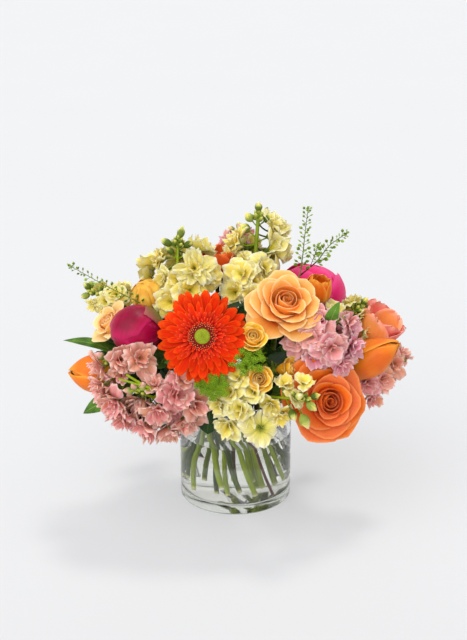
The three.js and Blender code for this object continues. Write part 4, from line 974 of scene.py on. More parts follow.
def rose(shape, face, radius, depth, count, seed, thick, cupped, heart, closing, point=0.06, guards=()):
    """A rolled heart, tight petals round it, and broad outer petals on a golden spiral whose lips bend over.
    cupped holds the outer ones up, heart is (petals, share of the radius), closing is how far its lips lean
    in, point is how far the tips of the outer ones reach out, and guards are further outer petals, as
    (direction in the world, reach, height)."""
    rng = np.random.default_rng(seed)
    base = -depth / 2
    turns = 1.7
    v, a = np.meshgrid(np.linspace(0, 1, 8), np.linspace(0, 2 * math.pi * turns, 52), indexing="ij")
    share = a / a[0, -1]
    r = radius * (0.012 + 0.075 * share) * (0.8 + 0.2 * v) + radius * 0.015 * v**5
    z = base + depth * (0.35 + (0.56 + 0.03 * share + 0.012 * np.sin(3 * a)) * v)
    core = round_axis(r, a + seed, z)
    shape.sheet(put(core, face), thick * 0.8, v, 0 * a, 0.0, 0.4)
    V, U = uv(17, 15)
    tight, heart_share = heart
    for k in range(count + len(guards)):
        inner = k < tight
        s = (k + 0.5) / tight if inner else min(1.0, (k - tight + 0.5) / (count - tight))
        azimuth = seed + k * GOLDEN + (0.10 if inner else 0.16) * rng.normal()
        wave = rng.uniform(0, 2 * math.pi, 3)
        # broad lips keep a round outline, others draw in to a soft point
        drawn = 0.14 if inner or point < 0.04 else 0.27
        tip = (0.02 if inner else point) * np.exp(-((U / 0.22) ** 2)) * ramp(0.7, 1, V)
        t = np.clip(V * (1 - drawn * np.abs(U) ** 2.4) + tip - 0.02, 0, 1)
        if inner:
            reach = radius * lerp(0.11, heart_share, s) * (1 + 0.03 * rng.normal())
            top = depth * (lerp(0.93 + 0.12 * closing, 0.98, s) + 0.02 * rng.normal())
            spread = lerp(1.9, 1.2, s)
            b0, b1, b2, b3 = (1 - t) ** 3, 3 * t * (1 - t) ** 2, 3 * t * t * (1 - t), t**3
            at_lip = lerp(0.92, 1.10, s) - closing * (1 - 0.6 * s)
            r = b0 * 0.07 * radius + reach * (b1 * 0.95 + b2 * 1.12 + b3 * at_lip)
            z = base + 1.5 + top * (0.66 * b1 + 2.16 * b2 + 3 * b3) / 3
            curl = radius * lerp(0.012, 0.03, s)
        else:
            reach = radius * lerp(heart_share + 0.06, 1.0, s**0.9) * (1 + 0.03 * rng.normal())
            top = depth * (lerp(1.0, 0.68 + 0.35 * cupped, s**1.5) + 0.03 * rng.normal())
            spread = lerp(1.2, 0.84, s**0.8) + 0.7 * cupped
            start = lerp(1.48, 1.16 + 0.2 * cupped, s)
            end = lerp(1.0, -0.55 + 2 * cupped, s**1.2) + 0.16 * rng.normal()
            if k >= count:
                way, further, height = guards[k - count]
                local = face[0].T @ arr(way)
                azimuth, reach, top = math.atan2(local[1], local[0]), radius * further, depth * height
            x, rise = lip_profile(t, start, end, lerp(5.0, 2.8, s))
            r = radius * 0.08 + (reach - radius * 0.08) * x
            z = base + top * rise
            curl = radius * (0.030 + 0.030 * s)
        side = 0.30 + 0.70 * np.sin(math.pi / 2 * np.clip(V * 1.35, 0, 1))
        # the lip rolls outwards, most of all beside the tip, which leaves soft corners
        sides = ramp(0.5, 1.0, np.abs(U)) * ramp(0.45, 0.95, t)
        lip = ramp(0.90, 1.0, t) * (0.25 + 0.75 * np.abs(np.sin(1.2 * math.pi * U + wave[2])))
        r = r + curl * (0.7 * sides + 0.35 * lip)
        z = z - curl * ((0.5 if inner else 1.7) * sides + 0.5 * lip)
        out = 0.0 if inner else 0.35 + 0.65 * s
        wobble = np.sin(1.8 * math.pi * U + wave[0]) + 0.55 * np.sin(4.0 * math.pi * U + wave[1])
        z = z + radius * (0.010 + 0.028 * out) * wobble * t**3
        r = r * (1 + 0.035 * U) + radius * 0.020 * out * np.cos(2.7 * math.pi * U + wave[1]) * t**2
        angle = azimuth + U * spread * side
        grid = round_axis(r, angle, z)
        layer = 0.2 * s if inner else 0.3 + 0.7 * s
        shape.sheet(put(grid, face), thick * (1.7 if inner else 1.0), V, U, layer, rng.random())


def sepals(shape, face, base, radius, count, length, slot, seed, droop=0.9):
    """Receptacle and sepals behind a bloom."""
    rng = np.random.default_rng(seed)
    profile = [(radius * wide, base - radius * down) for wide, down in ((0.3, 0.95), (0.62, 0.7), (0.8, 0.3))]
    profile += [(radius * 0.62, base + 0.6), (0.3, base + 1.0)]
    shape.turned(profile, 14, face, slot=slot, marks_v=[0, 0.1, 0.2, 0.25, 0.3])
    V, U = uv(9, 5)
    for k in range(count):
        azimuth = 2 * math.pi * (k + 0.2 * rng.normal()) / count
        x, z = arc(0.15 * rng.normal() + 0.3, -droop + 0.3 * rng.normal(), V)
        wide = radius * 0.55 * np.sin(math.pi * np.clip(0.22 + 0.76 * V, 0, 1)) + 0.05
        x = radius * 0.5 + x * length
        y = U * wide
        z = base - 0.8 + z * length + 0.12 * wide * U * U
        shape.sheet(put(swung(x, y, z, azimuth), face), 0.5, V, U, 0.5, rng.random(), slot)


# ---- Globes and cups ---------------------------------------------------------------------------------------
def globe(shape, face, radius, length, opened, seed, layers, thick=0.8):
    """A bud or a peony: broad petals that close over each other round a ball. Each follows a great circle
    from the base, and the inner ones pass the pole. layers is (count, scale, top, half-width in radians)."""
    rng = np.random.default_rng(seed)
    half = length / 2
    V, U = uv(17, 15)
    for order, (count, scale, top, width) in enumerate(layers):
        last = order == len(layers) - 1
        for k in range(count):
            azimuth = 2 * math.pi * (k + 0.08 * rng.normal()) / count + order * 1.1 + seed
            t = V * (1 - 0.13 * np.abs(U) ** 2.4 + 0.014 * np.cos(3 * math.pi * U + order) * ramp(0.6, 1, V))
            polar = math.pi * (0.05 + (top - 0.05) * t)
            aside = U * width * (0.34 + 0.66 * np.sin(math.pi * np.clip(0.05 + 0.62 * V, 0, 1)) ** 0.9)
            swell = 1 + 0.010 * np.sin(2 * math.pi * U + 2 * order) + 0.030 * U
            lift = (0.030 * ramp(0.8, 1.0, np.abs(U)) + 0.025 * ramp(0.88, 1.0, t)) * (0.3 + 0.7 * last)
            r = scale * (swell + lift)
            out = np.cos(aside) * np.sin(polar) * r + opened * 0.30 * t**4 * (order > 0)
            side = np.sin(aside) * r
            x = radius * (out * np.cos(azimuth) - side * np.sin(azimuth))
            y = radius * (out * np.sin(azimuth) + side * np.cos(azimuth))
            z = -half * np.cos(aside) * np.cos(polar) * r
            grid = np.stack([x, y, z], axis=2)
            shape.sheet(put(grid, face), thick, V, U, (order + 1) / len(layers), rng.random())


def tulip(shape, face, radius, length, opened, seed, front, pinch, blunt, tones):
    """Inner and outer petals, each a broad blade with a midrib and a soft point. One outer petal lies towards
    front, a direction in the world. pinch is how far the tips draw together, and blunt how late."""
    rng = np.random.default_rng(seed)
    bottom = -length / 2
    V, U = uv(19, 13)
    count, thick = 3, 0.9
    local = face[0].T @ arr(front)
    towards = math.atan2(local[1], local[0])
    flare = min(1.0, opened / 0.4)
    for ring, (scale, turn) in enumerate(((0.87, math.pi / count), (1.0, 0.0))):
        for k in range(count):
            azimuth = towards + 2 * math.pi * k / count + turn + 0.05 * rng.normal()
            tall = 1 + 0.02 * rng.normal() - (0.05 if pinch > 0.9 and not ring else 0.0)
            full = 0.30 + 0.70 * np.sin(math.pi * np.minimum(0.5, 0.86 * V + 0.04))
            slim = 0.16 + 0.84 * np.sin(math.pi * np.minimum(0.5, 0.62 * V + 0.04))
            belly = lerp(full, slim, flare)
            drawn = min(0.98, pinch + 0.12 * (1 - ring) * (1 - flare))
            close = 1 - (drawn - opened) * np.clip((V - 0.44) / 0.56, 0, 1) ** blunt
            lip = ramp(0.8, 1.0, V) * 0.02 + opened * 0.22 * ramp(0.62, 1.0, V)
            wide = np.where(V < 0.5, 0.5 + 0.5 * np.sin(math.pi * V), 1.0)
            end = np.clip((V - 0.5) / 0.512, 0, 1) ** (2.0 + 0.8 * blunt - 0.8)
            wide = wide * np.sqrt(np.clip(1 - end, 0.012, 1))
            r = radius * scale * (belly * close + lip)
            rib = -0.03 * np.exp(-((U / 0.10) ** 2)) + 0.015 * np.cos(4 * math.pi * U) * (1 - np.abs(U))
            edge = (0.02 + 0.06 * opened) * ramp(0.7, 1.0, np.abs(U)) * ramp(0.2, 0.6, V)
            r = r * (1 + 0.04 * U + rib + edge) + 0.2 * rng.normal() * V
            z = bottom + 1.0 + (length - 1.0) * tall * V**1.12 - 0.02 * length * np.abs(U) ** 2 * V
            wave = rng.uniform(0, 6, 2)
            z = z + (0.01 + 0.03 * opened) * length * np.sin(3 * math.pi * U + wave[0]) * V**3
            r = r + 0.10 * opened * radius * np.sin(2.6 * math.pi * U + wave[1]) * V**3
            angle = azimuth + U * (3.45 if ring else 3.1) / count * wide
            grid = round_axis(r, angle, z)
            tone = rng.random() if tones is None else tones[ring * count + k]
            shape.sheet(put(grid, face), thick, V, U, ring, tone)
    foot = [
        (radius * 0.12, bottom), (radius * 0.34, bottom + 0.8), (radius * 0.44, bottom + 5), (0.3, bottom + 8)
    ]
    shape.turned(foot, 14, face, tone=0.5, marks_v=[0, 0, 0.05, 0.1])


# ---- Stock -------------------------------------------------------------------------------------------------
def floret(shape, face, radius, seed, tone, broad, tuft):
    """A ruffled double floret with its petals at all slopes. broad widens them, and tuft raises them to a
    brush."""
    rng = np.random.default_rng(seed)
    V, U = uv(10, 9)
    count = int(round(lerp(9, 15, min(max((radius - 8) / 10, 0), 1)) / broad**0.7))
    for k in range(count):
        s = (k + 0.5) / count
        azimuth = seed + k * GOLDEN + 0.25 * rng.normal()
        length = radius * lerp(0.72, 1.18, s**0.8) * (1 + 0.10 * rng.normal()) * (1 + 0.22 * tuft)
        start = lerp(1.45, 0.35 + 0.25 * tuft, s) + 0.18 * rng.normal()
        end = lerp(0.75 + 0.4 * tuft, -0.45 + 0.55 * tuft, s) + (0.40 + 0.15 * tuft) * rng.normal()
        width = broad * 0.50 * (1 + 0.12 * rng.normal())
        wide = length * width * (0.14 + 0.86 * np.sin(math.pi / 2 * np.clip(V * 1.1, 0, 1)) ** 1.6)
        wave = rng.uniform(0, 2 * math.pi, 3)
        scallop = 0.05 * np.sin(5 * math.pi * U + wave[0]) - 0.05 * np.exp(-((U / 0.22) ** 2))
        t = V * (1 - 0.30 * np.abs(U) ** 3.0 + scallop * ramp(0.5, 1.0, V))
        x, z = arc(start, end, t)
        swing = 0.12 + 0.06 * rng.random()
        ruffle = swing * np.sin(1.9 * math.pi * U + wave[1]) * t**1.4
        ruffle = ruffle + 0.06 * np.sin(4.6 * math.pi * U + wave[2]) * t**3
        fold = rng.uniform(-0.05, 0.22)
        z = z + ruffle + fold * U * U * t * (1.2 - 0.6 * t)
        x = radius * 0.05 + x * length - 0.10 * length * U * U * (1 - t) * t
        y = U * wide * (1 - 0.15 * fold) * (1 - 0.28 * V**5)
        z = z * length + radius * (-0.22 + 0.10 * (1 - s))
        bend = 0.25 * rng.normal()
        y = y + bend * length * 0.3 * t * t
        grid = put(swung(x, y, z, azimuth), face)
        shape.sheet(grid, 0.5, V, U, 0.35 + 0.65 * s, np.clip(tone + 0.12 * rng.normal(), 0, 1))


def single_floret(shape, face, radius, seed, slot):
    """An open floret of broad creased petals round a green throat, with short stamens in it."""
    rng = np.random.default_rng(seed)
    V, U = uv(15, 17)
    for k in range(6):
        azimuth = 2 * math.pi * k / 6 + 0.3 + 0.10 * rng.normal()
        length = radius * (1.0 - 0.12 * (k % 2) + 0.06 * rng.normal())
        start, end = 0.70 - 0.30 * (k % 2), -0.35 + 0.25 * rng.normal()
        wide = length * 0.46 * (0.08 + 0.92 * ramp(0.02, 0.72, V))
        wave = rng.uniform(0, 2 * math.pi, 3)
        scallop = 0.05 * np.sin(6.2 * math.pi * U + wave[0]) - 0.12 * np.exp(-((U / 0.2) ** 2))
        t = V * (1 - 0.30 * np.abs(U) ** 3.0 + scallop * ramp(0.4, 1.0, V))
        x, z = arc(start, end, t)
        groove = -0.10 * np.exp(-((U / 0.14) ** 2)) * np.sin(math.pi * np.clip(t, 0, 1)) ** 0.7
        folds = 0.035 * np.cos(5 * math.pi * U) * t * (1.3 - t)
        ruffle = 0.085 * np.sin(2.3 * math.pi * U + wave[1]) * t**1.5
        ruffle = ruffle + 0.05 * np.sin(5.6 * math.pi * U + wave[2]) * t**3
        z = (z + ruffle + groove + folds + 0.10 * U * t) * length + (1.2 if k % 2 else 0.0)
        x = radius * 0.03 + x * length
        y = U * wide * (1 - 0.24 * V**5)
        shape.sheet(put(swung(x, y, z, azimuth), face), 0.5, V, U, 1.0, rng.random(), slot)
    for k in range(6):
        lean = on_ring(0.35, k, 1)
        oval(shape, within(face, lean * (1, 1, 0) * 2, lean), radius * 0.22, radius * 0.055, 1, 0.6, sides=6)


def oval(shape, face, length, width, slot, tone, thick=None, sides=9, flutes=4, flute=0.07):
    """A bud or a pod: an egg from its root at the origin along +Z, flattened to thick if asked for."""
    t = np.linspace(0, 1, 8)
    r = width / 2 * np.sin(math.pi * t**0.9) ** 0.8
    r[0], r[-1] = width * 0.08, width * 0.05
    turn = angles(sides)
    wave = 1 + flute * np.cos(flutes * turn)
    flat = (thick or width) / width
    rings = []
    for q, h in zip(r, t):
        ring = [q * wave * np.cos(turn), flat * q * wave * np.sin(turn), np.full(sides, length * h)]
        rings.append(put(np.stack(ring, axis=1), face))
    shape.rings(rings, tone=tone, slot=slot, marks_v=t)


# ---- Stems -------------------------------------------------------------------------------------------------
def catmull(points, t):
    """The point at t on a centripetal curve through points, as the solids have it."""
    points = [arr(p) for p in points]
    last = len(points) - 1
    place = last * t
    i = min(int(math.floor(place)), last - 1)
    w = place - i
    a = points[i - 1] if i > 0 else 2 * points[0] - points[1]
    b, c = points[i], points[i + 1]
    d = points[i + 2] if i + 2 <= last else 2 * points[last] - points[last - 1]
    q0, q1, q2 = (max(float(((m - k) ** 2).sum()), 1e-12) ** 0.25 for k, m in ((a, b), (b, c), (c, d)))
    t1 = ((b - a) / q0 - (c - a) / (q0 + q1) + (c - b) / q1) * q1
    t2 = ((c - b) / q1 - (d - b) / (q1 + q2) + (d - c) / q2) * q1
    return b + t1 * w + (-3 * b + 3 * c - 2 * t1 - t2) * w**2 + (2 * b - 2 * c + t1 + t2) * w**3


def curve_through(points):
    """The curve through points, as a function of t from 0 to 1."""

    def at(t):
        return catmull(points, t)

    return at


def curve(points, count):
    """Even steps along the curve through points."""
    return [catmull(points, t) for t in np.linspace(0, 1, count)]


def depth_of(size):
    """How deep a bloom is along the way that it faces."""
    return size.get("depth", size.get("length"))


class Stem:
    """A stem from its foot in the water, straight through the neck, and on along a curve to its bloom."""

    # the share of the solids' path that its straight part takes
    straight = 1 / 6

    def __init__(self, name, ring, toward, facing, radius, points=None):
        self.name, self.ring, self.toward, self.radius = name, ring, toward, radius
        end = arr(toward)
        self.points = [arr(p) for p in points] if points else [end - 20 * unit(facing), end]
        self.fan = 0.0

    def settle(self, nudge):
        waist, foot = RINGS.get(self.ring, RINGS["outer"])
        out, up = 0.8 * nudge(), 9.8 * nudge()
        self.foot = on_ring(foot + out, self.azimuth + TWIST + self.fan, FOOT_Z + 10 + up)
        self.waist = on_ring(waist, self.azimuth, WAIST_Z)
        shoulder = on_ring(waist + 10, self.azimuth - 0.14, WAIST_Z + 19)
        near = np.linalg.norm(self.points[0] - shoulder) < 12
        upper = self.points if near else [shoulder] + self.points
        self.knots = [lerp(self.foot, self.waist, 0.72), self.waist] + list(upper)
        self.first = 1 / (len(upper) + 1)

    def at(self, t):
        """The point at t, as the solids' path has it."""
        if t <= self.straight:
            return lerp(self.foot, self.waist, t / self.straight)
        s = (t - self.straight) / (1 - self.straight)
        return catmull(self.knots, self.first + (1 - self.first) * s)

    def line(self):
        """Points all along it, for its tube."""
        low, high = 12, 30
        lower = [lerp(self.foot, self.waist, i / low) for i in range(low)]
        upper = [catmull(self.knots, self.first + (1 - self.first) * i / high) for i in range(high + 1)]
        return lower + upper


def stem_end(at, facing, back):
    return arr(at) - back * unit(facing)


# how the stems of a ring spread in the neck, in degrees: the middle of the ring's stems, and their span
SPREAD = {"outer": (-58, 290), "middle": (-90, 360), "inner": (0, 360)}
# a stem passes the neck this far round from the way that its bloom lies
AHEAD = math.radians(30)
SPRAY_FORK = {"at": (30, -108, 204), "facing": (0, -0.9, 0.4)}


def direction(stem):
    return math.atan2(stem.toward[1], stem.toward[0])


def gather():
    """All stems, in the solids' order, each with its place in the rings."""
    stems = [Stem("gerbera_stem", "middle", stem_end(*GERBERA.values(), 3.5), GERBERA["facing"], 2.8)]
    for name, (kind, at, facing, size, colour, ring) in BLOOMS.items():
        depth = depth_of(size)
        end = stem_end(at, facing, depth / 2 - 5)
        stems.append(Stem(f"{name}_stem", ring, end, facing, 2.4 if depth < 40 else 3.1))
    for name, (ring, colour, line, florets, buds) in STOCKS.items():
        stems.append(Stem(f"{name}_stem", ring, line[0], (0, 0, 1), 2.7, line))
    for name, (ring, line, *rest) in THLASPI.items():
        stems.append(Stem(name, ring, line[0], (0, 0, 1), 1.1, line))
    for name, (at, facing, radius, ring) in UMBELS.items():
        stems.append(Stem(name, ring, stem_end(at, facing, 4), facing, 1.6))
    fork = stem_end(*SPRAY_FORK.values(), 12)
    stems.append(Stem("spray_rose_stem", "outer", fork, SPRAY_FORK["facing"], 2.4))
    for ring, (centre, span) in SPREAD.items():
        centre, span = math.radians(centre), math.radians(span)
        group = [s for s in stems if s.ring == ring]
        wishes = {}
        for s in group:
            wish = direction(s) + AHEAD
            while wish > centre + math.pi:
                wish -= 2 * math.pi
            while wish < centre - math.pi:
                wish += 2 * math.pi
            wishes[s] = wish
        for i, s in enumerate(sorted(group, key=wishes.get)):
            s.azimuth = 0.5 * wishes[s] + 0.5 * (centre + span * ((i + 0.5) / len(group) - 0.5))
    back = [s for s in stems if s.ring == "back"]
    for i, s in enumerate(sorted(back, key=direction)):
        s.azimuth, s.fan = math.radians(114 + 5.6 * i), math.radians(-13 + 9 * i)
    nudge = drawer(41)
    for s in stems:
        s.settle(nudge)
    return {s.name: s for s in stems}


STEMS = gather()


def leaf(shape, root, tip, width, arch, face, slot, tone, fold=0.22, seed=0):
    """A leaf from root to tip, folded a little along its midrib, with a wavy edge."""
    a, b = arr(root), arr(tip)
    along = unit(b - a)
    side = unit(np.cross(along, arr(face)))
    up = np.cross(side, along)
    V, U = uv(15, 9)
    outline = np.sin(math.pi * np.clip(V, 0, 1) ** 0.8) ** 0.75
    w = width / 2 * np.maximum(outline, 0.04)
    wave = 0.05 * width * np.sin(9 * V + seed + 1.5 * np.sign(U)) * np.abs(U) ** 2
    rise = arch * np.sin(math.pi * V) * 1.2 + fold * w * np.abs(U) + wave - 0.10 * width * V**3
    grid = a + (b - a) * V[:, :, None] + side * (U * w)[:, :, None] + up * rise[:, :, None]
    shape.sheet(grid, 0.6, V, U, 0.5, tone, slot)


def nearest(stem, point, low=0.15):
    ts = np.linspace(low, 1, 60)
    path = [stem.at(t) for t in ts]
    return path[int(np.argmin([np.linalg.norm(p - arr(point)) for p in path]))]


def stem_tube(shape, stem, seed):
    rng = np.random.default_rng(seed)
    path = np.array(stem.line())
    radii = stem.radius * (1 + 0.05 * np.sin(np.linspace(0, 14, len(path)) + seed))
    if stem.name[: -len("_stem")] in STOCKS:
        taper = 0.2 if stem.name == "stock_cream_b_stem" else 0.5
        radii = radii * (1 - taper * ramp(0.5, 1.0, np.linspace(0, 1, len(path))))
    radii[0] *= 0.97
    shape.tube(path, radii, 12, tone=rng.random())


# side stems that show in front of a cluster: points and the radius at the root
TWIGS = {
    "stock_pink_b_stem": [
        ([(-66, -104, 162), (-78, -122, 174), (-94, -129, 185), (-112, -129, 197)], 2.1),
        ([(-86, -127, 180), (-102, -130, 187), (-120, -126, 191)], 1.7),
        ([(-84, -125, 178), (-98, -129, 180), (-114, -122, 175)], 1.5),
    ],
}


def twigs_of(shape, stem):
    for line, radius in TWIGS.get(stem.name, ()):
        path = curve([nearest(stem, line[0]), *line], 16)
        shape.tube(path, radius * np.linspace(1, 0.6, 16), 9, tone=0.95, slot=0)


def leaves_of(shape, stem, slot):
    for i, (root, tip, width, arch, face) in enumerate(LEAVES.get(stem.name, ())):
        start = nearest(stem, root)
        end = arr(root) + 0.12 * (arr(tip) - arr(root))
        shape.tube([start, lerp(start, end, 0.5) + (0, 0, 1), end], [1.2, 0.9, 0.7], 6, tone=0.5, slot=0)
        leaf(shape, root, tip, width * 1.06, arch, face, slot, 0.5 + 0.2 * i, seed=i)


# ---- Putting the blooms in their places --------------------------------------------------------------------
# What the looks change of a bloom: swell of its radius, shift of its place, facing, colour and opening. Roses
# have their number of petals, and guards: outer petals that reach out further. Tulips have a longer length,
# their pinch and blunt, the direction that one outer petal lies towards, and tones for their petals. The
# peony at the left has its own layers.
LOOKS = {
    "rose_peach": {
        "shift": (4, 0, 0), "petals": 24,
        "guards": [((-1, 0, 0.05), 1.04, 0.62), ((-0.7, 0, -0.8), 1.14, 0.58), ((0.3, 0, -1), 1.02, 0.6)],
    },
    "rose_orange": {
        "swell": 1.06, "petals": 19,
        "guards": [
            ((-0.75, 0, 0.65), 1.30, 0.86), ((-0.2, 0, 1), 1.16, 0.92), ((0.45, 0, -0.9), 0.98, 0.70),
            ((-0.5, 0, -0.85), 1.04, 0.72), ((0.95, 0, -0.25), 0.95, 0.74),
        ],
    },
    "rose_pale": {"swell": 1.28, "shift": (5, 4, 1), "petals": 17, "colour": "pale"},
    "rose_back": {"petals": 20},
    "tulip_right": {
        "swell": 1.12, "shift": (-3, -2, -1), "facing": (0.80, -0.25, 0.57), "longer": 1.14, "blunt": 2.4,
        "front": (-0.1, -0.9, -0.35),
    },
    "tulip_left": {"swell": 1.06, "shift": (2, 0, 0), "pinch": 0.96, "blunt": 2.4, "front": (0, -0.75, -0.9)},
    # the top tulip takes the painted-light copy of the tulip colours
    "tulip_top": {
        "shift": (0, 0, -3), "facing": (0.2, -0.2, 0.96), "colour": "tulip_bright", "open": 0.34,
        "longer": 0.9,
        "front": (-0.5, -1, 0),
    },
    "tulip_red": {"swell": 1.35, "shift": (2, -4, 4), "open": 0.55, "front": (-0.3, -1, 0)},
    "tulip_coral": {"pinch": 0.74, "front": (-0.75, -0.7, 0), "tones": (0.3, 0.9, 0.2, 0.95, 0.2, 0.3)},
    "peony_left": {
        "layers": [(3, 0.90, 1.04, 1.15), (3, 0.955, 1.02, 1.1), (3, 1.0, 1.0, 0.98), (1, 1.035, 1.06, 0.92)]
    },
    "gold_bud": {"swell": 1.15},
}
ROSES = {
    "orange": {"cupped": 0.35, "point": 0.02, "heart": (9, 0.33)},
    "peach": {"cupped": 0.0, "point": 0.06, "heart": (9, 0.42)},
}
BUD_LAYERS = [(3, 0.86, 1.04, 0.9), (5, 0.93, 1.0, 0.60), (6, 1.0, 0.97, 0.42), (6, 1.06, 0.86, 0.32)]


def peony_layers(opened):
    """The layers of a peony's globe. An opening one has its outer petals lower."""
    outer = [(2, 0.98, 1.08 - 0.2 * opened, 1.15), (3, 1.01, 0.86 - 0.1 * opened, 1.0)]
    return [(3, 0.88, 1.06, 1.15), (3, 0.94, 1.04, 1.1)] + outer


def blooms():
    for number, (name, (kind, at, facing, size, colour, ring)) in enumerate(BLOOMS.items()):
        shape, look = Shape(), LOOKS.get(name, {})
        face = spot(arr(at) + look.get("shift", (0, 0, 0)), look.get("facing", facing))
        radius = size["radius"] * look.get("swell", 1.0)
        opened = look.get("open", size.get("open", 0))
        materials = [M[look.get("colour", colour)]]
        if kind == "rose":
            guards = look.get("guards", ())
            rose(
                shape, face, radius, size["depth"], look["petals"], size["seed"], thick=0.55, closing=0.25,
                guards=guards,
                **ROSES[colour],
            )
        elif kind == "peony":
            layers = look.get("layers") or peony_layers(opened)
            globe(shape, face, radius, size["length"], opened, number, layers)
            materials.append(M["sepal_red"])
            if name == "peony_left":
                guard(shape, face, radius, size["length"])
        elif kind == "tulip":
            length = size["length"] * look.get("longer", 1.0)
            pinch = look.get("pinch", 0.94 if opened == 0 else 0.78)
            front, blunt = look.get("front", (0, -1, 0)), look.get("blunt", 2.0)
            tulip(shape, face, radius, length, opened, number, front, pinch, blunt, look.get("tones"))
        else:
            globe(shape, face, radius, size["length"] * 1.25, 0.0, number, BUD_LAYERS, thick=0.7)
            materials.append(M["sepal"])
        shape.piece(f"{name}_look", materials, {"gold": "yellow"}.get(colour, colour), name)
    for i, (name, at, facing, radius) in enumerate(SPRAY):
        shape = Shape()
        # the lowest one stands closer and lower, the others a little further out and larger
        low = name == "spray_rose_low"
        shift, swell = ((0, -4, -4), 1.0) if low else (4 * unit(facing), 1.12)
        place = spot(arr(at) + shift, facing)
        rose(
            shape, place, radius * swell, radius * 1.5, 18, 20 + i, thick=0.45, cupped=0.7, heart=(10, 0.56),
            closing=0.5,
        )
        shape.piece(f"{name}_look", [M["yellow"]], "yellow", name)


def guard(shape, face, radius, length):
    """The greenish sepals that hug the bud's upper side."""
    V, U = uv(13, 11)
    up = face[0].T @ arr((0.62, 0, 0.78))
    azimuth0 = math.atan2(up[1], up[0])
    hugging = ((-0.1, 0.54, 0.98, 1.065), (1.7, 0.44, 0.6, 1.05), (-1.9, 0.42, 0.55, 1.05))
    for turn, top, width, lift in hugging:
        polar = math.pi * (0.05 + top * V * (1 - 0.22 * np.abs(U) ** 2.2 + 0.02 * np.sin(7 * U)))
        end = np.clip((V - 0.35) / 0.66, 0, 1) ** 2.2
        wide = (0.6 + 0.4 * ramp(0.0, 0.4, V)) * np.sqrt(np.clip(1 - end, 0.02, 1))
        r = radius * lift * np.sin(polar)
        z = -length / 2 * lift * np.cos(polar)
        angle = azimuth0 + turn + U * width * wide
        shape.sheet(put(round_axis(r, angle, z), face), 0.7, V, U, 0.5, 0.5, 1)


# the point that the stocks' florets face away from
HEART = arr((0, 0, 150))
# the calyx behind a floret, as shares of its radius: wide, down
CALYX = ((0.17, 0.62), (0.20, 0.32), (0.1, 0.1))
# the one single floret, and the stocks of a bluer pink
SINGLE = {("stock_cream_c", 6)}
MAUVE = ("stock_pink_c", "stock_pink_e")
# florets that the solids leave out of the thickest clusters: x, y, z, radius
FILLERS = {
    "stock_cream_c": [(36, -134, 166, 13), (60, -142, 176, 10), (10, -134, 152, 12)],
    "stock_pink_a": [(-104, -98, 152, 12), (-134, -92, 150, 12), (-112, -100, 136, 12)],
    "stock_pink_b": [(-86, -108, 146, 13), (-70, -114, 176, 12), (-66, -108, 148, 13), (-96, -98, 148, 12)],
    "stock_cream_a": [(-60, -52, 274, 13), (-82, -22, 290, 11)],
    "stock_cream_b": [
        (17, -52, 256, 14), (20, -38, 266, 13), (42, 16, 302, 13), (38, 16, 282, 13), (8, 10, 292, 12),
        (8, -14, 284, 11),
    ],
    "stock_cream_d": [(-140, -20, 226, 10)],
}
# florets that turn another way, or have other petals: (cluster, number): facing, swell, broad, tuft, shift
TURNED = {
    ("stock_cream_a", 0): ((0.05, -0.8, 0.5), 0.9, 0.66, 0.6, (0, 0, 0)),
    ("stock_cream_a", 4): ((-0.5, 0.55, 0.66), 1.1, 1.2, 0.1, (0, 0, 0)),
    ("stock_cream_a", 5): ((-0.85, 0.25, 0.2), 1.1, 1.2, 0.1, (0, 0, 0)),
    ("stock_cream_a", 7): ((0.45, 0.35, 0.8), 1.25, 1.4, 0.6, (0, 0, 2)),
    ("stock_cream_b", 5): ((0.65, 0.1, 0.3), 1.35, 1.7, 0.9, (0, 0, 0)),
    ("stock_cream_b", 6): ((0.55, 0.1, 0.8), 1.35, 1.7, 0.9, (0, 0, -2)),
    ("stock_cream_b", 11): ((0.75, -0.2, 0.1), 1.3, 1.8, 0.8, (0, 0, 0)),
    ("stock_cream_b", 12): ((0.6, -0.3, -0.4), 1.3, 1.8, 0.8, (0, 0, 0)),
    ("stock_pink_b", 0): ((-0.3, -0.6, -0.7), 0.8, 0.7, 0.9, (2, 12, -6)),
    ("stock_pink_b", 8): ((-0.1, -0.6, 0.7), 0.9, 0.7, 0.9, (3, 4, 4)),
    ("stock_pink_a", 6): ((-0.2, -0.7, 0.6), 0.85, 0.7, 0.9, (2, 8, 4)),
}


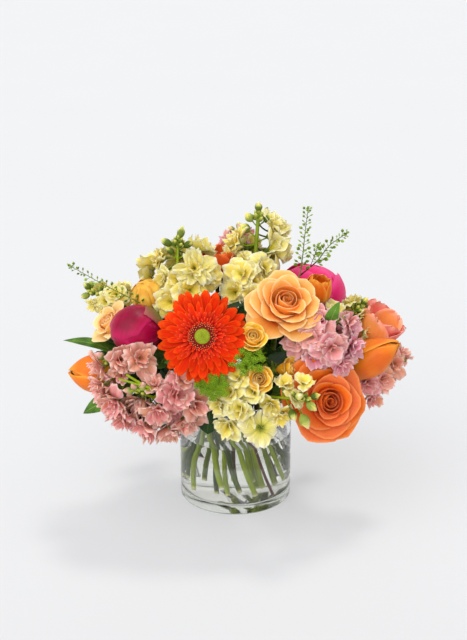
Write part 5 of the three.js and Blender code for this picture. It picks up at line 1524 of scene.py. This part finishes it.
def stocks():
    for number, (name, (ring, colour, line, florets, buds)) in enumerate(STOCKS.items()):
        stem = STEMS[f"{name}_stem"]
        shape = Shape()
        pink = colour == "stock_pink"
        for i, (x, y, z, radius) in enumerate(florets + FILLERS.get(name, [])):
            at = arr((x, y, z))
            start = nearest(stem, at, 0.5)
            way = unit(at - start)
            outward = unit(at - HEART)
            # those in front turn a little to the front, and the low pink ones hang
            aside = (0, -0.22 if y < 20 else 0.1, -0.25 if pink and z < 150 else 0)
            facing = unit(lerp(way, outward, 0.3) + aside)
            swell, broad, tuft = 1.12, 0.86 if pink else 1.2, 0.85 if pink else 0.2
            if name in MAUVE:
                broad, tuft = 1.05, 0.5
            if (name, i) in TURNED:
                facing, swell, broad, tuft, shift = TURNED[name, i]
                facing = unit(facing)
                at = at + shift
            face = spot(at, facing, i)
            tone = 0.5 + 0.30 * math.sin(7 * i + number)
            if (name, i) in SINGLE:
                facing = unit((0.12, -0.95, 0.22))
                face = spot(at + 5 * facing, facing, 0.4)
                single_floret(shape, face, radius * 1.22, 100 * number + i, 3)
            else:
                floret(shape, face, radius * swell, 100 * number + i, tone, broad, tuft)
            # green calyx and the stalk back to the stem
            back = at - facing * radius * 0.62
            calyx = [(0.9, -radius * 0.74)]
            calyx += [(radius * wide, -radius * down) for wide, down in CALYX]
            shape.turned(calyx, 8, face, slot=1, tone=tone, marks_v=[0, 0.1, 0.2, 0.3])
            for k in range(4):
                turn = math.pi / 2 * k + i
                foot = on_ring(0.16 * radius, turn, -radius * 0.36)
                claw = within(face, foot, on_ring(0.75, turn, 1.0))
                oval(shape, claw, radius * 0.62, radius * 0.17, 1, tone, 0.8, sides=6, flutes=1, flute=0.0)
            bow = lerp(start, back, 0.5) - facing * 1.5
            shape.tube(curve([start, bow, back, at - facing * radius * 0.5], 7), 0.95, 6, slot=2, tone=tone)
        if colour == "cream":
            materials = [M["cream"], M["bud"], M["stem"], M["single"]]
        else:
            petals = M["stock_mauve"] if name in MAUVE else M["stock_pink"]
            materials = [petals, M["bud_pink"], M["stem"]]
        shape.piece(f"{name}_look", materials, colour, name)


def opening_bud(shape, root, way, length, width, seed, green, petals):
    """A bud on its root: a swelling of rolled petals, with four pointed sepals that hug it."""
    rng = np.random.default_rng(seed)
    face = spot(root, way, rng.uniform(0, 3))
    oval(shape, face, length, width, petals, rng.random(), sides=12, flutes=3, flute=0.10)
    V, U = uv(9, 5)
    tone = rng.random()
    for k in range(4):
        reach = min(0.94, 0.80 + 0.08 * rng.normal())
        t = 0.03 + (reach - 0.03) * V
        r = width / 2 * np.sin(math.pi * t**0.9) ** 0.8 * 1.10 + 0.25
        wide = 0.86 * np.sqrt(np.clip(1 - V**2.6, 0.01, 1))
        angle = math.pi / 2 * k + U * wide
        shape.sheet(put(round_axis(r, angle, length * t), face), 0.35, V, U, 0.5, tone, green)


# what a stem is made of, by slot: stem, leaf, sepal, the sepals of cream and of pink buds, and young buds
STEM_MATERIALS = [M[key] for key in ("stem", "leaf", "sepal", "bud", "bud_pink", "bud_young", "bud_young")]
# how wide a stock's buds are, as a share of their length
BUD_WIDTHS = {"stock_cream_b": 0.80, "stock_cream_a": 0.58}


def greens():
    """The stems with what grows on them. Those at the back are one piece."""
    back = Shape()
    for number, stem in enumerate(STEMS.values()):
        shape = back if stem.ring == "back" else Shape()
        name = stem.name
        base = name[: -len("_stem")] if name.endswith("_stem") else name
        materials = list(STEM_MATERIALS)
        slot = "stem"
        if name in THLASPI:
            thlaspi(shape, stem, number)
            materials = [M["fine"], M["pod"]]
        elif name in UMBELS:
            umbel(shape, stem, number)
            materials = [M["fine"], M["leaf_dark"], M["umbel"]]
            slot = "umbel"
        else:
            stem_tube(shape, stem, number)
        if base in STOCKS:
            green = 3 if STOCKS[base][1] == "cream" else 4
            stock_buds(shape, stem, STOCKS[base][4], green, BUD_WIDTHS.get(base, 0.70))
            materials.append(M["cream" if green == 3 else "stock_pink"])
        if base in BLOOMS:
            kind, at, facing, size = BLOOMS[base][:4]
            depth = depth_of(size)
            if kind != "tulip":
                wide, length = (5.5, 9) if depth < 40 else (8.0, 15)
                sepals(shape, spot(at, facing), -depth / 2, wide, 5, length, 2, number)
        if name == "spray_rose_stem":
            for rose_name, at, facing, radius in SPRAY:
                sprig(shape, stem, at, facing, radius, number)
        leaves_of(shape, stem, 1)
        twigs_of(shape, stem)
        if stem.ring != "back":
            shape.piece(f"{name}_look", materials, slot, name)
    back.piece("stems_back_look", STEM_MATERIALS + [M["cream"]], "stem", "stems_back")


def stock_buds(shape, stem, buds, slot, wide):
    """The buds that the layout lists, and a crowd of young ones at the tip."""
    rng = np.random.default_rng(len(buds) + int(stem.points[0][2]))
    before, end = stem.points[-2], stem.points[-1]
    along = end - before
    for x, y, z, length in buds:
        tip = arr((x, y, z))
        t = np.clip((tip - before).dot(along) / along.dot(along) - 0.16, 0, 0.94)
        root = before + along * t
        way = unit(tip - root)
        start = tip - way * length * 0.55
        shape.tube(
            [root, lerp(root, start, 0.5) - (0, 0, 0.4), start + way], [0.9, 0.8, 0.9], 6, slot=0, tone=0.6,
        )
        opening_bud(shape, start, way, length * 1.25, length * wide, abs(int(7 * x + z)), slot, 7)
    # small young buds crowd the very tip
    tip = stem.points[-1]
    rise = unit(along)
    for k in range(11):
        lean = on_ring(1, k * GOLDEN, 0.2)
        way = unit(rise + lean * (0.2 + 0.11 * k))
        root = tip - rise * (1.1 * k - 1)
        knee = root + way * (1.0 + 0.35 * k)
        shape.tube([root, knee], 0.6, 5, slot=0, tone=0.6)
        oval(
            shape, spot(knee - way * 0.4, way, k), 6.2 + 0.22 * k, 3.9 + 0.12 * k, slot + 2, rng.random(),
            sides=8,
        )


def thlaspi(shape, stem, seed):
    ring, line, begin, pods, branches = THLASPI[stem.name]
    rng = np.random.default_rng(seed)
    path = np.array(stem.line())
    height = np.linspace(0, 1, len(path))
    shape.tube(path, 1.1 - 0.75 * ramp(0.35, 1.0, height), 7, tone=0.4)
    pods_along(shape, stem.at, begin, pods, rng)
    for line, (wide, narrow), steps, sides, begin, pods in branches:
        shape.tube(curve(line, steps), np.linspace(wide, narrow, steps), sides, tone=0.4)
        pods_along(shape, curve_through(line), begin, pods, rng)


def pods_along(shape, line, begin, count, rng):
    """Round flat pods on hair-fine stalks to all sides, larger towards the foot, and buds at the tip."""
    for k in range(count):
        share = (k + 0.5) / count
        t = begin + (1 - begin) * share
        at = line(t)
        along = unit(line(min(1, t + 0.01)) - line(t - 0.01))
        across = unit(np.cross((0, 1, 0), along))
        other = np.cross(along, across)
        turn = k * GOLDEN
        flat = across * math.cos(turn) + 0.7 * other * math.sin(turn)
        way = unit(unit(flat) + along * (0.35 + 0.25 * share))
        stalk = (5.0 - 1.8 * share) * (1 + 0.12 * rng.normal())
        size = (5.2 - 2.0 * share) * (1 + 0.1 * rng.normal())
        knee = at + way * stalk
        shape.tube([at, at + way * stalk * 0.5 - (0, 0, 0.15), knee], [0.26, 0.2, 0.24], 4, tone=0.5)
        pod = spot(knee - way * 0.3, unit(way + (0, 0, 0.12)), rng.uniform(0, 3))
        oval(shape, pod, size, size * 0.78, 1, rng.random(), thick=1.4, sides=8, flutes=2, flute=0.0)
    tip = line(1.0)
    rise = unit(tip - line(0.97))
    for k in range(12):
        lean = on_ring(1, k * GOLDEN, math.sin(3 * k))
        at = tip - rise * 0.42 * k
        way = unit(rise * 1.2 + lean * (0.3 + 0.06 * k))
        shape.tube([at, at + way * 1.4], 0.18, 4, tone=0.6)
        oval(shape, spot(at + way * 1.2, way), 2.1, 1.7, 1, rng.random(), sides=6, flutes=2, flute=0.0)


def umbel(shape, stem, seed):
    """Rays from the top of the stem to small heads of green florets, with fine bracts between them."""
    at, facing, radius, ring = UMBELS[stem.name]
    rng = np.random.default_rng(seed)
    shape.tube(np.array(stem.line()), stem.radius, 8, tone=0.5)
    radius = radius * (1.2 if ring == "middle" else 1.3)
    place = spot(arr(at) + 8 * unit(facing) + ((-4, -2, 2) if ring == "middle" else (-1, 0, -5)), facing)
    heads = 19 if radius > 16 else 14
    hub = put(arr((0, 0, -14.0)), place)
    for k in range(heads):
        azimuth = k * GOLDEN
        r = radius * 0.86 * math.sqrt((k + 0.35) / heads)
        centre = on_ring(r, azimuth, 3.5 - 6 * (r / radius) ** 2 + 1.8 * rng.normal())
        top = put(centre, place)
        bow = lerp(hub, top, 0.55) + (top - hub) * 0.02
        shape.tube([hub, bow, top], [0.55, 0.45, 0.4], 5, tone=0.5, slot=2)
        for j in range(15):
            turn = j * GOLDEN
            q = 3.5 * math.sqrt((j + 0.4) / 15)
            lean = on_ring(0.55 * r / radius, azimuth, 1.0) + on_ring(0.2 * q, turn, 0.0)
            foot = centre + on_ring(q, turn, 1.2 - 0.09 * q * q + 0.3 * rng.normal())
            bead = within(place, foot, unit(lean), j)
            shape.tube([put(centre - (0, 0, 0.8), place), bead[1]], 0.22, 4, tone=0.5, slot=2)
            for petal in range(5):
                a = 2 * math.pi * petal / 5 + j
                tiny = within(bead, on_ring(0.42, a, 0.1), on_ring(1, a, 0.55))
                oval(shape, tiny, 1.8, 1.15, 2, rng.random(), thick=0.6, sides=5, flutes=1, flute=0.0)
    for k in range(22):
        azimuth = k * GOLDEN + 0.4
        length = radius * rng.uniform(0.7, 1.02)
        low = put(arr((0, 0, -6.0)), place)
        far = put(on_ring(length, azimuth, rng.uniform(-5, 3)), place)
        shape.tube(
            [low, lerp(low, far, 0.5) + (0, 0, 0.5), far], [0.5, 0.4, 0.12], 4, tone=rng.random(), slot=2,
        )


def sprig(shape, stem, at, facing, radius, seed):
    """One spray rose's own stalk and sepals."""
    end = stem_end(at, facing, radius * 0.62 - 3)
    start = stem.at(0.86)
    mid = end - 8 * unit(facing)
    shape.tube(curve([start, mid, end], 9), 1.7, 8, tone=0.6)
    sepals(shape, spot(at, facing), -radius * 0.62, 4.6, 5, radius * 0.62, 2, seed + int(radius), droop=0.2)


# places where a dark leaf goes behind the blooms in front, partly to close gaps and partly as painted shade
# in the deep spaces between the blooms
SHADE_GAPS = [
    (-110, -92, 184), (-95, -92, 156), (-102, -96, 137), (-88, -92, 176), (60, -92, 190), (-20, -100, 168),
    (-1, -76, 238), (-82, -94, 150), (6, -64, 244),
]
# where the tips of more dark leaves show between the upper blooms
HIGH = [
    (-62, -62, 226), (-42, -78, 214), (-22, -66, 238), (8, -80, 222), (30, -72, 214), (62, -58, 222),
    (74, -40, 232), (-86, -48, 214), (-8, -40, 246), (50, -20, 242), (-40, 2, 238), (0, 20, 238),
    (62, 12, 222), (-70, -24, 232), (30, -50, 240), (104, -40, 206), (-104, -40, 206), (-50, -50, 236),
    (40, 30, 232), (-60, 30, 222), (-20, -36, 236), (-30, -48, 238), (4, -6, 230), (-34, -54, 226),
    (-144, -34, 198), (-152, -34, 187), (-140, -38, 191),
]


# the heart of the bouquet that dark leaves fill: half its width, its reach to the front and to the back, the
# height of its middle and half its height; the leaves' number, the heights that they are spread over, how
# long they should be and how long they may be
HEART_LEAVES = {
    "wide": 120, "front": 96, "back": 84, "middle": 195, "half": 88,
    "count": 120, "lowest": 140, "spread": 82, "length": 36, "longest": 62,
}
TOP_LEAVES = {"count": 34, "radius": 58, "height": 212, "length": 40, "root": 185}


def foliage():
    """Dark leaves that fill the heart of the bouquet. Each grows from the stem point that suits it, out to a
    place just inside the blooms."""
    rng = np.random.default_rng(5)
    shape = Shape()
    roots = []
    for stem in STEMS.values():
        if stem.radius > 2:
            roots += [stem.at(t) for t in np.linspace(0.25, 0.9, 16)]
    roots = np.array([r for r in roots if r[2] > WAIST_Z + 12])

    def root_for(target, length, highest):
        """The stem point that lies about length away from target, and no higher than highest."""
        away = np.linalg.norm(roots - target, axis=1)
        return roots[int(np.argmin(np.abs(away - length) + np.maximum(0, roots[:, 2] - highest)))]

    def grow(root, target, face, seed):
        leaf(
            shape, root, target, rng.uniform(18, 26), rng.uniform(1, 4), unit(face), 0, rng.random(),
            seed=seed,
        )

    heart = HEART_LEAVES
    for i in range(heart["count"]):
        height = heart["lowest"] + heart["spread"] * (i + 0.5) / heart["count"]
        wide = math.sqrt(1 - ((height - heart["middle"]) / heart["half"]) ** 2)
        turn = i * GOLDEN
        deep = heart["front"] if math.sin(turn) < 0 else heart["back"]
        target = arr((heart["wide"] * wide * math.cos(turn), deep * wide * math.sin(turn), height))
        root = root_for(target, heart["length"], target[2] - 6)
        if np.linalg.norm(target - root) <= heart["longest"]:
            grow(root, target, on_ring(1, turn, 0.5) + 0.5 * rng.normal(0, 1, 3), i)
    for i, gap in enumerate(SHADE_GAPS):
        root = root_for(arr(gap), 0, math.inf)
        leaf(shape, root, lerp(root, arr(gap), 1.45), 27, 2, (0.1 * i, -0.9, 0.4), 0, rng.random(), seed=i)
    for i, place in enumerate(HIGH):
        root = root_for(arr(place), 38, place[2] - 12)
        leaf(shape, root, place, 25, 2, unit((0.3 * math.sin(3 * i), -0.8, 0.6)), 0, rng.random(), seed=i)
    top = TOP_LEAVES
    for i in range(top["count"]):
        turn = i * GOLDEN
        r = top["radius"] * math.sqrt((i + 0.5) / top["count"])
        target = arr((r * math.cos(turn), 6 + 0.8 * r * math.sin(turn), top["height"] - 0.006 * r * r))
        grow(root_for(target, top["length"], top["root"]), target, on_ring(0.4, turn, 0.9), i)
    shape.piece("inner_foliage", [M["leaf_dark"]], "stem")


# ---- Glass and water ---------------------------------------------------------------------------------------
# the corner of the glass inside, how far the water reaches into the glass, so that no film of air lies
# between them, and the water's edge where it climbs the glass: (away from the glass, up)
INNER_CORNER = 7
OVERLAP = 0.25
MENISCUS = ((-0.25, 1.1), (0.5, 0.6), (1.4, 0.2), (3, 0))


def corner(radius, z, reach, start, end, steps):
    """(radius, z) pairs round a corner of a turned profile, between its ends, in degrees."""
    turns = [math.radians(start + (end - start) * i / steps) for i in range(1, steps)]
    return [(radius + reach * math.cos(a), z + reach * math.sin(a)) for a in turns]


def vessel():
    radius, wall, edge, floor_z, top = VASE["radius"], VASE["wall"], VASE["edge"], VASE["floor"], VASE[
        "height"
    ]
    bore = radius - wall
    lip = wall / 2
    outer = [(0.01, 0.9), (radius - 9, 0.9), (radius - 7, 0.35), (radius - edge, 0.0)]
    outer += corner(radius - edge, edge, edge, -90, 0, 8)
    outer += [(radius, edge + 3), (radius, 40), (radius, 80), (radius, top - 2.4)]
    outer += corner(radius - lip, top - 1.8, lip, 0, 180, 12)
    inner = [(bore, top - 2.4), (bore, 80), (bore, 40), (bore, floor_z + 8)]
    inner += corner(bore - INNER_CORNER, floor_z + INNER_CORNER, INNER_CORNER, 0, -90, 9)
    inner += [(bore - 12, floor_z - 0.2), (30, floor_z - 0.7), (0.01, floor_z - 0.9)]
    glass = Shape()
    origin = spot((0, 0, 0), (0, 0, 1))
    glass.turned(outer + inner, 128, origin)
    glass.piece("vase_look", [M["glass"]], "glass", "vase")

    profile = [(0.01, floor_z - 1.2), (30, floor_z - 0.95), (bore - 12, floor_z - 0.45)]
    profile += corner(bore - INNER_CORNER, floor_z + INNER_CORNER, INNER_CORNER + OVERLAP, -90, 0, 9)
    profile += [(bore + OVERLAP, floor_z + 8), (bore + OVERLAP, 40)]
    profile += [(bore - away, WATER_TOP + up) for away, up in MENISCUS]
    profile += [(30, WATER_TOP), (0.01, WATER_TOP)]
    water = Shape()
    water.turned(profile, 128, origin)
    water.piece("water_look", [M["water"]], "water", "water")


# ---- Floor, lights and camera ------------------------------------------------------------------------------
def floor():
    """A wide sheet of pale paper that fills the whole view. It glows a little, to keep the shadows light, and
    has painted shade towards its front end.
    """
    n = Nodes("studio_floor")
    patches = n.noise(3.0, detail=2.0)
    tone = n.mix(patches, (0.345, 0.348, 0.352, 1), (0.360, 0.363, 0.367, 1))
    # painted shade: the sheet is a little greyer towards its front end, as if less light reached it there
    place = n.new("ShaderNodeSeparateXYZ", Vector=n.new("ShaderNodeTexCoord").outputs["Object"])
    tone = n.mix(n.span(place.outputs[1], -0.10, -0.75), tone, (0.285, 0.283, 0.283, 1))
    paper = n.new(
        "ShaderNodeBsdfPrincipled", Base_Color=tone, Roughness=n.span(patches, 0.0, 1.0, 0.85, 0.95),
    )
    paper.inputs["Specular IOR Level"].default_value = 0.1
    paper.inputs["Emission Color"].default_value = (0.975, 0.98, 1.0, 1)
    paper.inputs["Emission Strength"].default_value = FLOOR_GLOW
    corners = ((-1, -1), (1, -1), (1, 1), (-1, 1))
    mesh = bpy.data.meshes.new("studio_floor")
    mesh.from_pydata([(x * FLOOR_REACH, y * FLOOR_REACH + 6.0, 0.0) for x, y in corners], [], [(0, 1, 2, 3)])
    mesh.materials.append(n.finish(paper))
    linked("studio_floor", mesh)


def surroundings():
    """White surroundings with a broad soft light painted into them, in front, to the left and above."""
    world = bpy.data.worlds.new("studio")
    bpy.context.scene.world = world
    world.use_nodes = True
    tree = world.node_tree
    background = tree.nodes["Background"]
    way = tree.nodes.new("ShaderNodeTexCoord")
    towards = tree.nodes.new("ShaderNodeVectorMath")
    towards.operation = "DOT_PRODUCT"
    tree.links.new(way.outputs["Generated"], towards.inputs[0])
    towards.inputs[1].default_value = Vector(SOFT_LIGHT_FROM).normalized()
    glow = tree.nodes.new("ShaderNodeMapRange")
    glow.interpolation_type = "SMOOTHSTEP"
    tree.links.new(towards.outputs["Value"], glow.inputs[0])
    for i, number in enumerate(SOFT_LIGHT.values()):
        glow.inputs[i + 1].default_value = number
    tree.links.new(glow.outputs[0], background.inputs["Strength"])
    background.inputs["Color"].default_value = (0.98, 0.987, 1.0, 1)


def key_light():
    """It comes from above, behind and to the right, which throws the shadow forward and to the left."""
    data = bpy.data.lights.new("key", "SUN")
    data.energy = KEY["strength"]
    data.angle = math.radians(KEY["angle"])
    data.color = KEY["colour"]
    lamp = linked("key", data)
    lamp.location = KEY["from"]
    lamp.rotation_mode = "QUATERNION"
    lamp.rotation_quaternion = (-Vector(KEY["from"])).to_track_quat("-Z", "Y")


def view():
    data = bpy.data.cameras.new("camera")
    data.sensor_width = SENSOR_MM
    data.lens = FOCAL_PX / IMAGE_HEIGHT_PX * SENSOR_MM
    data.clip_start = 0.05
    data.clip_end = 50
    camera = linked("camera", data)
    camera.location = CAMERA_AT
    camera.rotation_euler = (math.radians(90 - CAMERA_DOWN), 0, 0)
    bpy.context.scene.camera = camera
    bpy.context.scene.view_settings.view_transform = "Standard"


floor()
surroundings()
key_light()
view()
gerbera()
blooms()
stocks()
greens()
foliage()
vessel()
